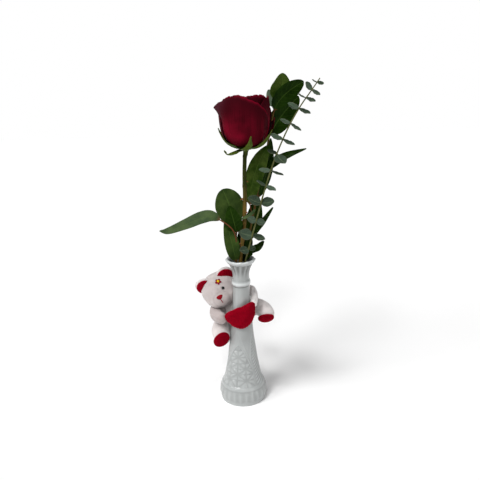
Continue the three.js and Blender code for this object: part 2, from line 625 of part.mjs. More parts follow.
function headPieces(group, cutters) {
  const toHead = group.matrixWorld.clone().invert().toArray();
  const outside = cutters.map((cutter) => cutter.transform(toHead));
  const head = largest(cut(headSolid(0), outside));
  const headEnvelope = headSolid(GAP);
  group.add(piece("bear_head", head, FINISH.whitePlush));
  [["left", -1], ["right", 1]].forEach(([word, side]) => {
    const ear = largest(cut(earSolid(side, 0), [headEnvelope, ...outside]));
    group.add(piece(`bear_ear_${word}`, ear, FINISH.whitePlush));
    const disc = earDisc(side, LINING_RADII, LINING_LIFT, 14, 6);
    const lining = largest(cut(disc, [earSolid(side, GAP), headEnvelope, ...outside]));
    group.add(piece(`bear_ear_lining_${word}`, lining, FINISH.redPlush));
  });
  const eye = cut(solid(ellipsoid([2.1, 1.8, 2.1], [9, -26.9, 1.5], undefined, 8, 6)), [headEnvelope]);
  group.add(piece("bear_eye", largest(eye), FINISH.eye));
  const nose = cut(solid(ellipsoid([4.2, 2.6, 3], [0, -33.3, -7.4], undefined, 10, 6)), [headEnvelope]);
  group.add(piece("bear_nose", largest(nose), FINISH.redPlush));
  const stitch = tube([[0, -34.8, -11.2], [0, -34.7, -14], [0, -33.4, -17.3]], 0.7, 2, 5);
  group.add(piece("bear_mouth", largest(cut(solid(stitch), [headEnvelope])), FINISH.redPlush));
  headFlower(group, headEnvelope);
}

// Little five-petalled flower on the forehead, with a button centre
function headFlower(group, headEnvelope) {
  const normal = new THREE.Vector3(0.25, -0.84, 0.48).normalize();
  const upright = new THREE.Quaternion().setFromUnitVectors(UP, normal);
  const placed = (geometry, lift) => {
    const centre = normal.clone().multiplyScalar(HEAD_RADIUS - 0.6 + lift);
    return geometry.applyQuaternion(upright).translate(centre.x, centre.y, centre.z);
  };
  const petals = Array.from({ length: 5 }, (_, i) => {
    const turn = (i * 2 * Math.PI) / 5;
    const place = [2.6 * Math.cos(turn), 2.6 * Math.sin(turn), 0];
    return placed(ellipsoid([2.1, 2.1, 0.9], place, undefined, 6, 3), 0.8);
  });
  const middle = placed(ellipsoid([2.2, 2.2, 0.9], [0, 0, 0], undefined, 6, 4), 0.8);
  const flower = cut(fused([...petals, middle]), [headEnvelope]);
  group.add(piece("bear_flower", largest(flower), FINISH.redPlush));
  const button = solid(placed(ellipsoid([1.9, 1.9, 1], [0, 0, 0], undefined, 8, 6), 2.3));
  const bed = solid(placed(ellipsoid([2.2 + GAP, 2.2 + GAP, 0.9 + GAP], [0, 0, 0], undefined, 6, 4), 0.8));
  group.add(piece("bear_flower_centre", largest(cut(button, [bed, flower])), FINISH.yellow));
}

// Plush bear: body, in the vase's frame

const BEAR_LIMBS = {
  bear_leg_left: {
    path: [[-8, 36, 118], [-27, 27, 116], [-34, 12, 108], [-32, -1, 102.5]],
    radii: [12, 14, 14.5, 13],
  },
  bear_leg_right: {
    path: [[12, 36, 130], [26, 29, 139], [37, 18, 142], [38, 8, 138]],
    radii: [12, 13, 13, 12],
  },
  bear_arm_left: {
    path: [[-20, 36, 140], [-38, 23, 139.5], [-39.5, 6, 137], [-31.5, -7, 136]],
    radii: [9, 9, 8.5, 8.5],
  },
  bear_arm_right: {
    path: [[2, 36, 160], [15, 26, 168.5], [19.8, 9, 165.5], [18, -5, 158]],
    radii: [9, 7.5, 6, 6],
  },
};
const PADS = {
  bear_foot_pad_left: { centre: [-34.3, -1, 104.3], normal: [0.34, -0.9, -0.26], reach: 13.8, radius: 11.6 },
  bear_foot_pad_right: { centre: [37, 7.5, 136.5], normal: [0.05, -0.72, -0.69], reach: 12, radius: 12.4 },
};

function torsoSolid(grow) {
  const turn = new THREE.Quaternion().setFromAxisAngle(new THREE.Vector3(0, 1, 0), radians(-30));
  return solid(ellipsoid([22 + grow, 17.5 + grow, 27 + grow], [-3, 34.5, 137], turn, 16, 11));
}

// Outline of the heart cushion: radius by angle in degrees, from the tip of its left lobe all the way round
const HEART_OUTLINE = [
  [-163, 29.5], [-151, 25.3], [-132, 22.4], [-108, 22.4], [-80, 23], [-48, 22], [-25, 22.3], [0, 23.4],
  [22, 25.6], [36, 28], [44, 27], [60, 18.6], [90, 12.2], [125, 12], [150, 13.6], [175, 20.5], [197, 29.5],
];

function heartRadius(angle) {
  const degrees = THREE.MathUtils.radToDeg(angle);
  return smoothAt(HEART_OUTLINE, degrees < HEART_OUTLINE[0][0] ? degrees + 360 : degrees);
}

function heartSolid(grow) {
  const geometry = new THREE.SphereGeometry(1, 26, 9);
  const position = geometry.attributes.position;
  const [centreX, centreZ] = HEART_CENTRE;
  const wrapY = -(smoothAt(VASE_OUTER, centreZ) + GAP + HEART_HALF_THICKNESS) + HEART_WRAP_RADIUS;
  for (let i = 0; i < position.count; i += 1) {
    const point = new THREE.Vector3().fromBufferAttribute(position, i);
    const spread = Math.hypot(point.x, point.z);
    const angle = Math.atan2(point.z, point.x);
    const reach = spread ** 0.8 * (heartRadius(angle) + grow);
    const flatX = centreX + reach * Math.cos(angle);
    const flatZ = centreZ + reach * Math.sin(angle);
    const out = HEART_WRAP_RADIUS - point.y * (HEART_HALF_THICKNESS + grow);
    const around = flatX / HEART_WRAP_RADIUS;
    position.setXYZ(i, out * Math.sin(around), wrapY - out * Math.cos(around), flatZ);
  }
  return solid(geometry);
}

function bodyPieces(group, cutters) {
  const torso = largest(cut(torsoSolid(0), cutters));
  group.add(piece("bear_torso", torso, FINISH.whitePlush));
  const heart = largest(cut(heartSolid(0), cutters));
  group.add(piece("heart_cushion", heart, FINISH.redPlush));
  const taken = [...cutters, torsoSolid(GAP), heartSolid(GAP)];
  Object.entries(BEAR_LIMBS).forEach(([name, { path, radii }]) => {
    const body = largest(cut(solid(limb(path, radii)), taken));
    group.add(piece(name, body, FINISH.whitePlush));
    taken.push(solid(limb(path, radii, GAP)));
  });
  Object.entries(PADS).forEach(([name, pad]) => {
    const normal = vector(pad.normal).normalize();
    const turn = new THREE.Quaternion().setFromUnitVectors(UP, normal);
    const centre = vector(pad.centre).addScaledVector(normal, pad.reach - 4.2);
    const lens = solid(ellipsoid([pad.radius, pad.radius, 5.6], centre.toArray(), turn, 14, 6));
    group.add(piece(name, largest(cut(lens, taken)), FINISH.redPlush));
  });
}

// Assembly

function bear() {
  const group = new THREE.Group();
  const head = new THREE.Group();
  head.position.set(...HEAD_CENTRE);
  head.rotation.set(radians(HEAD_LIFT), radians(HEAD_TILT), radians(HEAD_TURN));
  head.updateMatrixWorld(true);
  const against = [vaseEnvelope()];
  headPieces(head, against);
  const ears = [-1, 1].map((side) => earSolid(side, GAP));
  const headEnvelope = [headSolid(GAP), ...ears].map((body) => body.transform(head.matrixWorld.toArray()));
  bodyPieces(group, [...against, ...headEnvelope]);
  group.add(head);
  return group;
}

function flowers() {
  const group = new THREE.Group();
  group.add(piece("rose_stem", roseStem(), FINISH.roseStem));
  const head = piece("rose_bloom", bloom(), FINISH.petal);
  head.position.set(...BLOOM_BASE);
  group.add(head);
  group.add(piece("leaf_sprig_right", sprig(RIGHT_STEM, RIGHT_LEAVES), FINISH.leaf));
  group.add(piece("leaf_sprig_left", sprig(LEFT_STEM, LEFT_LEAVES), FINISH.leaf));
  group.add(piece("eucalyptus_sprig", eucalyptus(), FINISH.eucalyptus));
  return group;
}

function vaseWithWater() {
  const group = new THREE.Group();
  group.add(piece("vase", vase(), FINISH.milkGlass));
  const stems = [
    [ROSE_STEM_PATH, ROSE_STEM_RADIUS, 8],
    [RIGHT_STEM, SPRIG_STEM_RADIUS, 6],
    [LEFT_STEM, SPRIG_STEM_RADIUS, 6],
    [EUCALYPTUS_STEM, EUCALYPTUS_STEM_RADIUS, 5],
  ];
  group.add(piece("vase_water", water(stems.map(stemHole)), FINISH.water));
  return group;
}

const arrangement = new THREE.Group();
arrangement.add(vaseWithWater(), flowers(), bear());

export default arrangement;
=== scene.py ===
import math

import bpy
import numpy as np
from mathutils import Matrix, Vector


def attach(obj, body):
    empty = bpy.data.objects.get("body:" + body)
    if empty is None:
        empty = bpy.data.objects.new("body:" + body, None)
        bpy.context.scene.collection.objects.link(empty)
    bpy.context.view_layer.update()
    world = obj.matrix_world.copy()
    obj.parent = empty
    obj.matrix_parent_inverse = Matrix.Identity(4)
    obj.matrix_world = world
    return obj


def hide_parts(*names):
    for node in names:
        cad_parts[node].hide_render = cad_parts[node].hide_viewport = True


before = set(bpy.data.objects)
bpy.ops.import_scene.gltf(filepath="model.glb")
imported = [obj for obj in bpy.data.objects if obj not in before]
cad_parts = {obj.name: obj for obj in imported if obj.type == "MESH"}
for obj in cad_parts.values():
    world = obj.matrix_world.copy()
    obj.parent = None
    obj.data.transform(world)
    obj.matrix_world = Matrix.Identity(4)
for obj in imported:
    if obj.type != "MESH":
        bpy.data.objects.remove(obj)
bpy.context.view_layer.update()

# Shapes are worked out in millimetres in the row frame and become metres in piece().
MM = 0.001
BODY = "root"
SEED = 11

# Vase
VASE_SIDES = 300
VASE_OUTER = [
    (0, 34.8), (4, 35.6), (11, 37.3), (17, 36.9), (24, 34.2), (31, 30.9), (38, 28.4), (50, 25.9),
    (65, 23.2), (85, 20.6), (105, 17.9), (130, 15.9), (160, 13.6), (186, 12.7), (188.5, 13.3),
    (190.5, 14.2), (194, 14.2), (196.5, 13.3), (198.5, 12.6), (204, 12.5), (212, 13.8), (222, 18.8),
    (228, 21.9), (229.4, 21.2),
]
VASE_INNER = [
    (9, 26), (14, 30), (24, 29), (38, 25), (65, 19.7), (105, 14.5), (130, 12.6), (160, 10.4),
    (186, 9.6), (204, 9.5), (212, 10.4), (222, 14.6), (228.6, 17.7),
]
# Heights between which the outside has evenly spread rows of points, and how many
VASE_ROWS = [
    (0, 24, 22), (24, 29.6, 14), (29.6, 97, 118), (97, 140, 40), (140, 186, 10), (186, 199, 22),
    (199, 221, 22), (221, 227.4, 14),
]
# Rings under the foot: radius and height. Rings over the lip: how far in from the rim, and how far above it
SOLE_RINGS = [(29.5, 2.4), (31.2, 0.8), (32.6, 0.05)]
LIP_RINGS = [(0.25, 0.6), (0.7, 1.15), (1.35, 1.6), (2.1, 1.75), (2.9, 1.6), (3.6, 1.1), (4.1, 0.4)]
FOOT_FLUTES = 24
FOOT_FLUTE = 0.8
FLUTE_TOP = 17.5
# Heights between which the smooth band rises, then falls again
BAND_FOOT = (24, 25.4)
BAND_TOP = (28.2, 29.4)
BAND_LIFT = 0.7
BEAD_HEIGHT = 192.3
NECK_FLUTES = 12
PANELS = 3
PANEL_STEP = 360 / PANELS
PANEL_AZIMUTH = -19
PANEL_FOOT = 29
# Rows of stars in front: bottom, middle, top, and how many stars stand side by side
STAR_ROWS = [(28.6, 39.8, 49, 2), (49, 57.5, 66, 2), (66, 76.2, 86.5, 1)]
TOP_STAR_HALF_ANGLE = 36
# Top of a panel, height of its arch and how blunt the arch is: in front, then at the sides
FRONT_ARCH = (95, 40, 0.6)
SIDE_ARCH = (142, 74, 0.4)
SIDE_BULGE = 13
OUTER_ARCH_TOP = 117
RIB_PITCH = 4.8
RIB_SLANT = 0.35
RELIEF = 0.9
NECK_FLUTE = 1.5
LIP_FROM = 223
RIM_HEIGHT = 227.4
SCALLOP = 0.35
# Painted light on plain glass and on the rim, from 0 (painted shade, as in grooves) to 1 (painted highlight)
PLAIN_PAINTED_LIGHT = 0.42
RIM_PAINTED_LIGHT = 0.85

# Rose
ROSE_STEM_PATH = [
    (-3, 2, 9.35), (-0.4, 1.2, 140), (0, 1, 190), (0.1, 0.8, 215), (0.8, 0.4, 232), (2.6, 0, 247),
    (4.6, 0, 260), (7.2, -0.4, 286), (8.8, -0.8, 318), (8.8, -1, 352), (10, -1, 380), (11, -1, 390),
]
ROSE_STEM_RADII = [3.0, 3.05, 3.0, 3.0, 2.9, 2.8]
STEM_KNOTS = (0.63, 0.78, 0.91)
BLOOM_BASE = np.array([11.2, -1, 394.2])
BLOOM_WIDEST = 44
BLOOM_HEIGHT = 69
WIDEST_PETAL = 36.6
PETAL_THICKNESS = 0.45
GOLDEN_ANGLE = 137.5
# Height over the bloom's base, and radius
HIP = [(-13.5, 2.7), (-8, 3.5), (-5, 5.5), (-2, 7.3), (-0.4, 7.7)]
BLOOM_CORE = [(0, 7.6), (4, 8.4), (12, 8.2), (26, 7.6), (40, 6), (50, 3)]

# Bear
VASE_CLEARANCE = 0.9
HEAD_CENTRE = Vector((-33.7, 29.5, 169))
HEAD_TURN = (-15.4, -27.3, -3.1)
HEAD_RADIUS = 28
# Middle of the head with its muzzle, from the head's own centre
HEAD_MIDDLE = (0, -5, -2)
SKULL_RADII = (29, 27.6, 28.4)
CHEEK_RADII = (13, 11.5, 12)
MUZZLE_CENTRE = (0, -22.3, -12)
MUZZLE_RADII = (13.4, 12.2, 11)
# Right ear: its centre, the line that it is sewn on by, and the way that it stands out
EAR_CENTRE = (19, -7.6, 15.1)
EAR_SEAM = (18.9, 13.2, -13.4)
EAR_OUT = (8.6, -2.7, 6.5)
# Layers of an ear: node, then (half width, half depth, height, lift), pile, seam, colour and fill
EAR_LAYERS = [
    ("bear_ear_", (14.6, 3.5, 14.2, 0), 0.2, 0.3, "white_plush", 0.5),
    ("bear_ear_lining_", (13.6, 1.7, 12, 3.2), 0.12, 0.0, "red_plush", 0.3),
]
# Places across and up on the front of the head
EYE_PLACE = (9, 1.5)
EYE_RADII = (2.3, 1.8, 2.3)
NOSE_PLACE = (-0.9, -8.2)
MOUTH_LINE = [(-1, -11.6), (-0.8, -13.4), (-0.6, -15.3), (-0.6, -17.5)]
FLOWER_WAY = (0.25, -0.84, 0.48)
FLOWER_RADIUS = 5
FLOWER_PETALS = 5
TORSO_CENTRE = (-5, 31.5, 138.5)
TORSO_RADII = (22, 19, 27)
TORSO_LEAN = -30


# Numbers and curves


def smooth_at(pairs, x):
    """Value at x of the smooth curve through (x, value) pairs, with no overshoot between them."""
    xs, ys = np.array(pairs, float).T
    x = np.clip(np.asarray(x, float), xs[0], xs[-1])
    slopes = np.diff(ys) / np.diff(xs)
    product = slopes[:-1] * slopes[1:]
    total = np.where(product > 0, slopes[:-1] + slopes[1:], 1)
    inner = np.where(product > 0, 2 * product / total, 0)
    tangents = np.concatenate([slopes[:1], inner, slopes[-1:]])
    i = np.clip(np.searchsorted(xs, x, side="right") - 1, 0, len(xs) - 2)
    width = xs[i + 1] - xs[i]
    t = (x - xs[i]) / width
    start = ys[i] * (1 + 2 * t) * (1 - t) ** 2 + tangents[i] * width * t * (1 - t) ** 2
    end = ys[i + 1] * t * t * (3 - 2 * t) - tangents[i + 1] * width * t * t * (1 - t)
    return start + end


def fade(x, start, end):
    """0 before start, 1 after end, and smooth between them."""
    t = np.clip((np.asarray(x, float) - start) / (end - start), 0, 1)
    return t * t * (3 - 2 * t)


def hump(x, middle, width):
    """1 at a middle, and close to 0 beyond two widths from it."""
    return np.exp(-(((x - middle) / width) ** 2))


def spread_evenly(values, t):
    """Value at t, from 0 to 1, of the smooth curve along which values are spread evenly."""
    return smooth_at([(i / (len(values) - 1), v) for i, v in enumerate(values)], t)


def turns(count):
    """Angles that divide a full turn, in one row."""
    return (np.arange(count) * 2 * math.pi / count)[None]


def unit(vectors):
    return vectors / np.maximum(np.linalg.norm(vectors, axis=-1, keepdims=True), 1e-9)


def about_z(radius, turn, height):
    """Points at a radius and a height, at a turn about Z from the front."""
    return np.stack(np.broadcast_arrays(radius * np.sin(turn), -radius * np.cos(turn), height), -1)


def spokes(right, upward, turn, size=1.0):
    """Offsets of a size, at a turn from one direction towards another."""
    return right * (size * np.cos(turn))[..., None] + upward * (size * np.sin(turn))[..., None]


def pole_to_pole(rows, margin):
    """Angles from the top, in one column: from nearly straight down to nearly straight up."""
    return np.linspace(math.pi - margin, margin, rows)[:, None]


def sphere(rows, columns, margin):
    """Directions in rows from the bottom to the top, and in columns round Z."""
    polar = pole_to_pole(rows, margin)
    return about_z(np.sin(polar), turns(columns), np.cos(polar))


def along(path, t):
    """Points at t, from 0 to 1, of the centripetal curve through a path's points."""
    points = np.array(path, float)
    points = np.vstack([2 * points[0] - points[1], points, 2 * points[-1] - points[-2]])
    place = np.clip(np.asarray(t, float), 0, 1) * (len(path) - 1)
    i = np.clip(place.astype(int), 0, len(path) - 2)
    w = (place - i)[..., None]
    p0, p1, p2, p3 = (points[i + k] for k in range(4))
    steps = (p1 - p0, p2 - p1, p3 - p2)
    d0, d1, d2 = (np.linalg.norm(step, axis=-1, keepdims=True) ** 0.5 for step in steps)
    t1 = ((p1 - p0) / d0 - (p2 - p0) / (d0 + d1) + (p2 - p1) / d1) * d1
    t2 = ((p2 - p1) / d1 - (p3 - p1) / (d1 + d2) + (p3 - p2) / d2) * d1
    cubic = 2 * p1 - 2 * p2 + t1 + t2
    square = -3 * p1 + 3 * p2 - 2 * t1 - t2
    return ((cubic * w + square) * w + t1) * w + p1


def tangents_of(path, t):
    step = 1e-3
    return unit(along(path, np.minimum(t + step, 1)) - along(path, np.maximum(t - step, 0)))


def rims_along(path, t, sides, across):
    """Directions straight out from a path at each t, on a number of sides, and the turns they stand at."""
    tangent = tangents_of(path, t)[:, None]
    right = unit(np.cross(np.array(across, float), tangent))
    turn = turns(sides)
    return spokes(right, np.cross(tangent, right), turn), turn


def at_height(path, height):
    """Point of a rising path at a height."""
    x, y = (float(smooth_at([(p[2], p[k]) for p in path], height)) for k in (0, 1))
    return np.array([x, y, height])


def ripple(points, size, seed=0):
    """Smooth noise from -1 to 1 at points in millimetres, with bumps of about a size."""
    waves = np.random.default_rng(SEED + seed)
    total = np.zeros(points.shape[:-1])
    for _ in range(12):
        direction = unit(waves.normal(size=3)) * 2 * math.pi / size * waves.uniform(0.6, 1.5)
        total += np.sin(points @ direction + waves.uniform(0, 2 * math.pi))
    return total / 5


# Meshes


class Build:
    """Points, faces and per-point values of one piece."""

    def __init__(self):
        self.points, self.faces, self.values, self.count = [], [], {}, 0

    def add(self, points, faces, **values):
        points = np.asarray(points, float).reshape(-1, 3)
        self.points.append(points)
        self.faces += [tuple(int(i) + self.count for i in f) for f in faces]
        for name in set(self.values) | set(values):
            self.values.setdefault(name, [np.zeros(self.count)])
            self.values[name].append(np.broadcast_to(values.get(name, 0), (len(points),)).astype(float))
        self.count += len(points)


def grid_faces(rows, columns, closed=False, first=0, flip=False):
    i, j = np.meshgrid(np.arange(columns if closed else columns - 1), np.arange(rows - 1))
    a = first + j * columns + i
    b = first + j * columns + (i + 1) % columns
    quads = np.stack([a, b, b + columns, a + columns], -1).reshape(-1, 4)
    return quads[:, ::-1] if flip else quads


def add_skin(build, points, ends=None, **values):
    """Closed skin over rows by columns of points, with one more point at each end to close it.

    It faces outwards when its columns run anticlockwise, seen from its last row.
    """
    rows, columns = points.shape[:2]
    ends = points[[0, -1]].mean(1) if ends is None else ends
    first = rows * columns
    top = first - columns
    faces = [*grid_faces(rows, columns, closed=True)]
    for i in range(columns):
        after = (i + 1) % columns
        faces += [(first, after, i), (first + 1, top + i, top + after)]
    spread = {k: np.broadcast_to(v, (rows, columns)) for k, v in values.items()}
    closed = {k: np.concatenate([v.reshape(-1), v[[0, -1]].mean(1)]) for k, v in spread.items()}
    build.add(np.concatenate([points.reshape(-1, 3), ends]), faces, **closed)


def show(name, data):
    """New object in the scene."""
    made = bpy.data.objects.new(name, data)
    bpy.context.scene.collection.objects.link(made)
    return made


def piece(name, build, finish, node):
    """Mesh object from a Build, riding on the body, in place of a CAD node."""
    mesh = bpy.data.meshes.new(name)
    mesh.from_pydata(np.concatenate(build.points) * MM, [], build.faces)
    for label, parts in build.values.items():
        layer = mesh.attributes.new(label, "FLOAT", "POINT")
        layer.data.foreach_set("value", np.concatenate(parts).astype(np.float32))
    mesh.validate()
    mesh.polygons.foreach_set("use_smooth", [True] * len(mesh.polygons))
    mesh.materials.append(FINISH[finish])
    made = show(name, mesh)
    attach(made, BODY)
    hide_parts(node)


def skin_piece(name, points, finish, node, padded=None, **values):
    build = Build()
    add_skin(build, points, **values)
    piece(name, build, finish, node)


def plush_piece(node, points, seam, colour="white_plush", fill=0.8):
    skin_piece(node + "_plush", points, colour, node, fill, seam=seam)


def add_sheet(build, points, thickness, **values):
    """Closed sheet of a thickness about a grid of points, rows by columns."""
    rows, columns = points.shape[:2]
    normals = unit(np.cross(np.gradient(points, axis=1), np.gradient(points, axis=0)))
    offset = normals * np.broadcast_to(thickness, (rows, columns))[..., None] / 2
    both = np.concatenate([(points + offset).reshape(-1, 3), (points - offset).reshape(-1, 3)])
    under = rows * columns
    index = np.arange(under).reshape(rows, columns)
    rim = np.concatenate([index[0], index[1:, -1], index[-1, -2::-1], index[-2:0:-1, 0]])
    after = np.roll(rim, -1)
    sides = np.stack([rim, under + rim, under + after, after], -1)
    faces = [grid_faces(rows, columns), grid_faces(rows, columns, first=under, flip=True), sides]
    doubled = {k: np.tile(np.broadcast_to(v, (rows, columns)).reshape(-1), 2) for k, v in values.items()}
    build.add(both, np.concatenate(faces), upper=np.repeat([1.0, 0.0], under), **doubled)


def add_tube(build, path, radii, rings=60, sides=14, bumps=None, **values):
    """Tube with closed ends along a path. radii are spread evenly along it, and bumps(t, turn) adds to them.

    A value is a number, or a function of the place t along the path.
    """
    t = np.linspace(0, 1, rings)
    centre = along(path, t)
    rim, turn = rims_along(path, t, sides, (0, 1, 0.02))
    size = spread_evenly(radii, t)[:, None] + (bumps(t[:, None], turn) if bumps else 0)
    values = {k: v(t)[:, None] if callable(v) else v for k, v in values.items()}
    add_skin(build, centre[:, None] + rim * size[..., None], centre[[0, -1]], **values)


# Materials


def srgb(red, green, blue):
    """Linear colour, with alpha, of an sRGB colour from 0 to 255."""
    channels = [v / 255 for v in (red, green, blue)]
    return tuple(c / 12.92 if c < 0.04045 else ((c + 0.055) / 1.055) ** 2.4 for c in channels) + (1,)


WHITE = (255, 255, 255)


class Shader:
    """A node material with short calls for the nodes that these finishes need."""

    def __init__(self, name, **uniform):
        self.material = bpy.data.materials.new(name)
        self.material.use_nodes = True
        self.tree = self.material.node_tree
        self.surface = self.tree.nodes["Principled BSDF"]
        for key, value in uniform.items():
            self.surface.inputs[key.replace("_", " ")].default_value = value
        self.bumps = None

    def node(self, kind, inputs, **settings):
        made = self.tree.nodes.new("ShaderNode" + kind)
        for key, value in settings.items():
            setattr(made, key, value)
        for key, value in inputs.items():
            self.put(made.inputs[key], value)
        return made

    def put(self, socket, value):
        if isinstance(value, bpy.types.NodeSocket):
            self.tree.links.new(value, socket)
        else:
            socket.default_value = value

    def math(self, operation, first, second=0.0):
        return self.node("Math", {0: first, 1: second}, operation=operation).outputs[0]

    def times(self, first, second):
        return self.math("MULTIPLY", first, second)

    def attribute(self, name):
        return self.node("Attribute", {}, attribute_name=name).outputs["Fac"]

    def noise(self, scale, detail=3.0, stretch=(1, 1, 1), roughness=0.5):
        """Noise over the object's place, from 0 to 1. scale is in bumps to a metre."""
        place = self.node("TexCoord", {}).outputs["Object"]
        spread = self.node("Mapping", {"Vector": place, "Scale": stretch}).outputs[0]
        inputs = {"Vector": spread, "Scale": scale, "Detail": detail, "Roughness": roughness}
        return self.node("TexNoise", inputs).outputs["Fac"]

    def spread(self, value, low, high, to_low=0.0, to_high=1.0):
        inputs = {"Value": value, "From Min": low, "From Max": high, "To Min": to_low, "To Max": to_high}
        return self.node("MapRange", inputs).outputs[0]

    def cloud(self, scale, low, high, *noise, **more):
        """Noise spread out so that low is 0 and high is 1."""
        return self.spread(self.noise(scale, *noise, **more), low, high)

    def mix(self, share, first, second, blend="MIX"):
        """Mix of two colours, each an output, an sRGB colour from 0 to 255, or a linear one with alpha."""
        made = self.node("Mix", {0: share}, data_type="RGBA", blend_type=blend)
        for socket, colour in ((6, first), (7, second)):
            in_srgb = isinstance(colour, tuple) and len(colour) == 3
            self.put(made.inputs[socket], srgb(*colour) if in_srgb else colour)
        return made.outputs[2]

    def bump(self, height, distance, strength=1.0):
        """Adds a layer of relief, whose distance is in metres."""
        inputs = {"Height": height, "Distance": distance, "Strength": strength}
        if self.bumps is not None:
            inputs["Normal"] = self.bumps
        self.bumps = self.node("Bump", inputs).outputs[0]

    def veins(self, along, slant, width):
        """How far from its rib a place on a leaf is, and the side veins there, both from 0 to 1."""
        side = self.math("ABSOLUTE", self.attribute("across"))
        place = self.math("SUBTRACT", self.times(self.attribute("along"), along), self.times(side, slant))
        phase = self.math("ABSOLUTE", self.math("SUBTRACT", self.math("FRACT", place), 0.5))
        return side, self.spread(phase, width, 0.0)

    def finish(self, colour, rough=None, low=0.0, high=1.0):
        """Material of a colour, whose roughness goes from low to high with a share, where one is given."""
        self.put(self.surface.inputs["Base Color"], colour)
        if rough is not None:
            self.put(self.surface.inputs["Roughness"], self.spread(rough, 0, 1, low, high))
        if self.bumps is not None:
            self.tree.links.new(self.bumps, self.surface.inputs["Normal"])
        return self.material


def milk_glass():
    s = Shader("milk_glass", Roughness=0.2, IOR=1.5, Coat_Weight=0.25, Coat_Roughness=0.08)
    cloud = s.cloud(28, 0.35, 0.7, 4)
    # low is the painted shade of the grooves and high the painted highlight of the ridges; the painted light
    # mixes them.
    low = s.mix(cloud, (112, 114, 112), (120, 122, 120))
    high = s.mix(cloud, (204, 208, 208), (211, 215, 215))
    # The inside of the vase takes a darker grey: painted shade within its mouth.
    colour = s.mix(s.attribute("hollow"), s.mix(s.attribute("ridge"), low, high), (112, 119, 117))
    s.bump(s.noise(160, 2), 0.0003, 0.25)
    return s.finish(colour, s.cloud(60, 0.3, 0.7), 0.16, 0.27)


def water():
    s = Shader("water", Roughness=0.04, IOR=1.33, Transmission_Weight=1.0)
    s.bump(s.noise(90, 2), 0.0004, 0.3)
    return s.finish(s.mix(s.noise(40), (225, 236, 236), (214, 228, 226)))


def rose_stem_finish():
    s = Shader("rose_stem", Specular_IOR_Level=0.08)
    streaks = s.cloud(900, 0.35, 0.65, 3, (1, 1, 0.06))
    green = s.mix(streaks, (36, 42, 8), (52, 58, 16))
    brown = s.mix(streaks, (84, 64, 24), (114, 92, 42))
    colour = s.mix(s.spread(s.attribute("along"), 0.79, 0.69), green, brown)
    colour = s.mix(s.cloud(260, 0.62, 0.72, 4), colour, (84, 36, 22))
    colour = s.mix(s.attribute("sepal"), colour, s.mix(streaks, (56, 74, 14), (80, 94, 28)))
    colour = s.mix(s.attribute("thorn"), colour, (122, 74, 44))
    s.bump(streaks, 0.0003, 0.4)
    return s.finish(colour, streaks, 0.42, 0.6)


def petal_finish():
    s = Shader("rose_petal", Specular_IOR_Level=0.025)
    across, height = s.attribute("across"), s.attribute("along")
    fan = s.node("CombineXYZ", {"X": s.times(across, 34.0), "Y": s.times(height, 2.2)}).outputs[0]
    veins = s.node("TexNoise", {"Vector": fan, "Scale": 1.0, "Detail": 4.0}).outputs["Fac"]
    streaks = s.spread(veins, 0.3, 0.75)
    deep = s.mix(streaks, (58, 2, 11), (72, 4, 17))
    # Painted light: the lower left of each petal, towards the lamps, turns to the lighter red in blotches.
    painted_lit_red = s.mix(streaks, (106, 4, 26), (130, 9, 37))
    painted_side_light = s.times(s.spread(height, 0.95, 0.4), s.spread(across, 0.7, 0.0, 0.15, 1.0))
    colour = s.mix(s.times(s.cloud(38, 0.32, 0.66, 2), painted_side_light), deep, painted_lit_red)
    # Painted shade towards the top of each petal.
    colour = s.mix(s.spread(height, 0.6, 0.95, 0, 0.6), colour, (46, 3, 11))
    colour = s.mix(s.spread(height, 0.45, 0.12, 0, 0.75), colour, (54, 6, 14))
    # rim is a painted highlight along the top edge of the petals.
    colour = s.mix(s.attribute("rim"), colour, (126, 6, 34))
    # Painted shade on the inner petals and the core, deep in the cup.
    colour = s.mix(s.times(s.attribute("inner"), 0.45), colour, (50, 2, 12))
    # lip is a painted sheen: purple-grey on the rolled lip and along the outer petals' left edge.
    colour = s.mix(s.attribute("lip"), colour, (74, 30, 40))
    s.bump(streaks, 0.0002, 0.4)
    s.bump(s.noise(2600, 2), 0.00008, 0.5)
    return s.finish(colour, streaks, 0.55, 0.66)


def leaf_finish():
    """Broad leaf: side veins run out from the rib, and each leaf has its own tone."""
    s = Shader("leaf", Specular_IOR_Level=0.03)
    side, veins = s.veins(9.0, 1.6, 0.09)
    lines = s.math("MAXIMUM", s.times(veins, 0.3), s.spread(side, 0.075, 0.015))
    mottle = s.cloud(70, 0.3, 0.75)
    light = (30, 54, 6)
    colour = s.mix(mottle, (12, 32, 0), light)
    colour = s.mix(s.attribute("tone"), colour, s.mix(mottle, light, (78, 96, 38)))
    colour = s.mix(s.times(lines, 0.4), colour, (80, 106, 42))
    colour = s.mix(s.attribute("pale"), colour, s.mix(mottle, (96, 114, 92), (116, 132, 108)))
    colour = s.mix(s.attribute("stalk"), colour, (104, 62, 40))
    s.bump(s.math("SUBTRACT", 1.0, lines), 0.0005, 0.6)
    s.bump(s.noise(700), 0.00015, 0.5)
    return s.finish(colour, mottle, 0.3, 0.46)


def eucalyptus_finish():
    s = Shader("eucalyptus_leaf", Specular_IOR_Level=0.1, Sheen_Weight=0.03, Sheen_Roughness=0.5)
    side, veins = s.veins(6.0, 2.0, 0.1)
    lines = s.math("MAXIMUM", s.times(veins, 0.35), s.spread(side, 0.1, 0.02))
    bloom = s.cloud(260, 0.3, 0.7, 4)
    pale = s.mix(bloom, (72, 92, 70), (92, 110, 92))
    deep = s.mix(bloom, (34, 46, 32), (56, 72, 54))
    colour = s.mix(s.attribute("upper"), pale, deep)
    colour = s.mix(s.attribute("tone"), colour, (88, 106, 90))
    colour = s.mix(s.times(lines, 0.5), colour, (112, 124, 92))
    colour = s.mix(s.spread(side, 0.9, 1.0, 0, 0.4), colour, (96, 78, 62))
    colour = s.mix(s.attribute("stalk"), colour, s.mix(bloom, (74, 80, 42), (98, 98, 58)))
    s.bump(s.math("SUBTRACT", 1.0, lines), 0.0003, 0.5)
    return s.finish(colour, bloom, 0.5, 0.7)


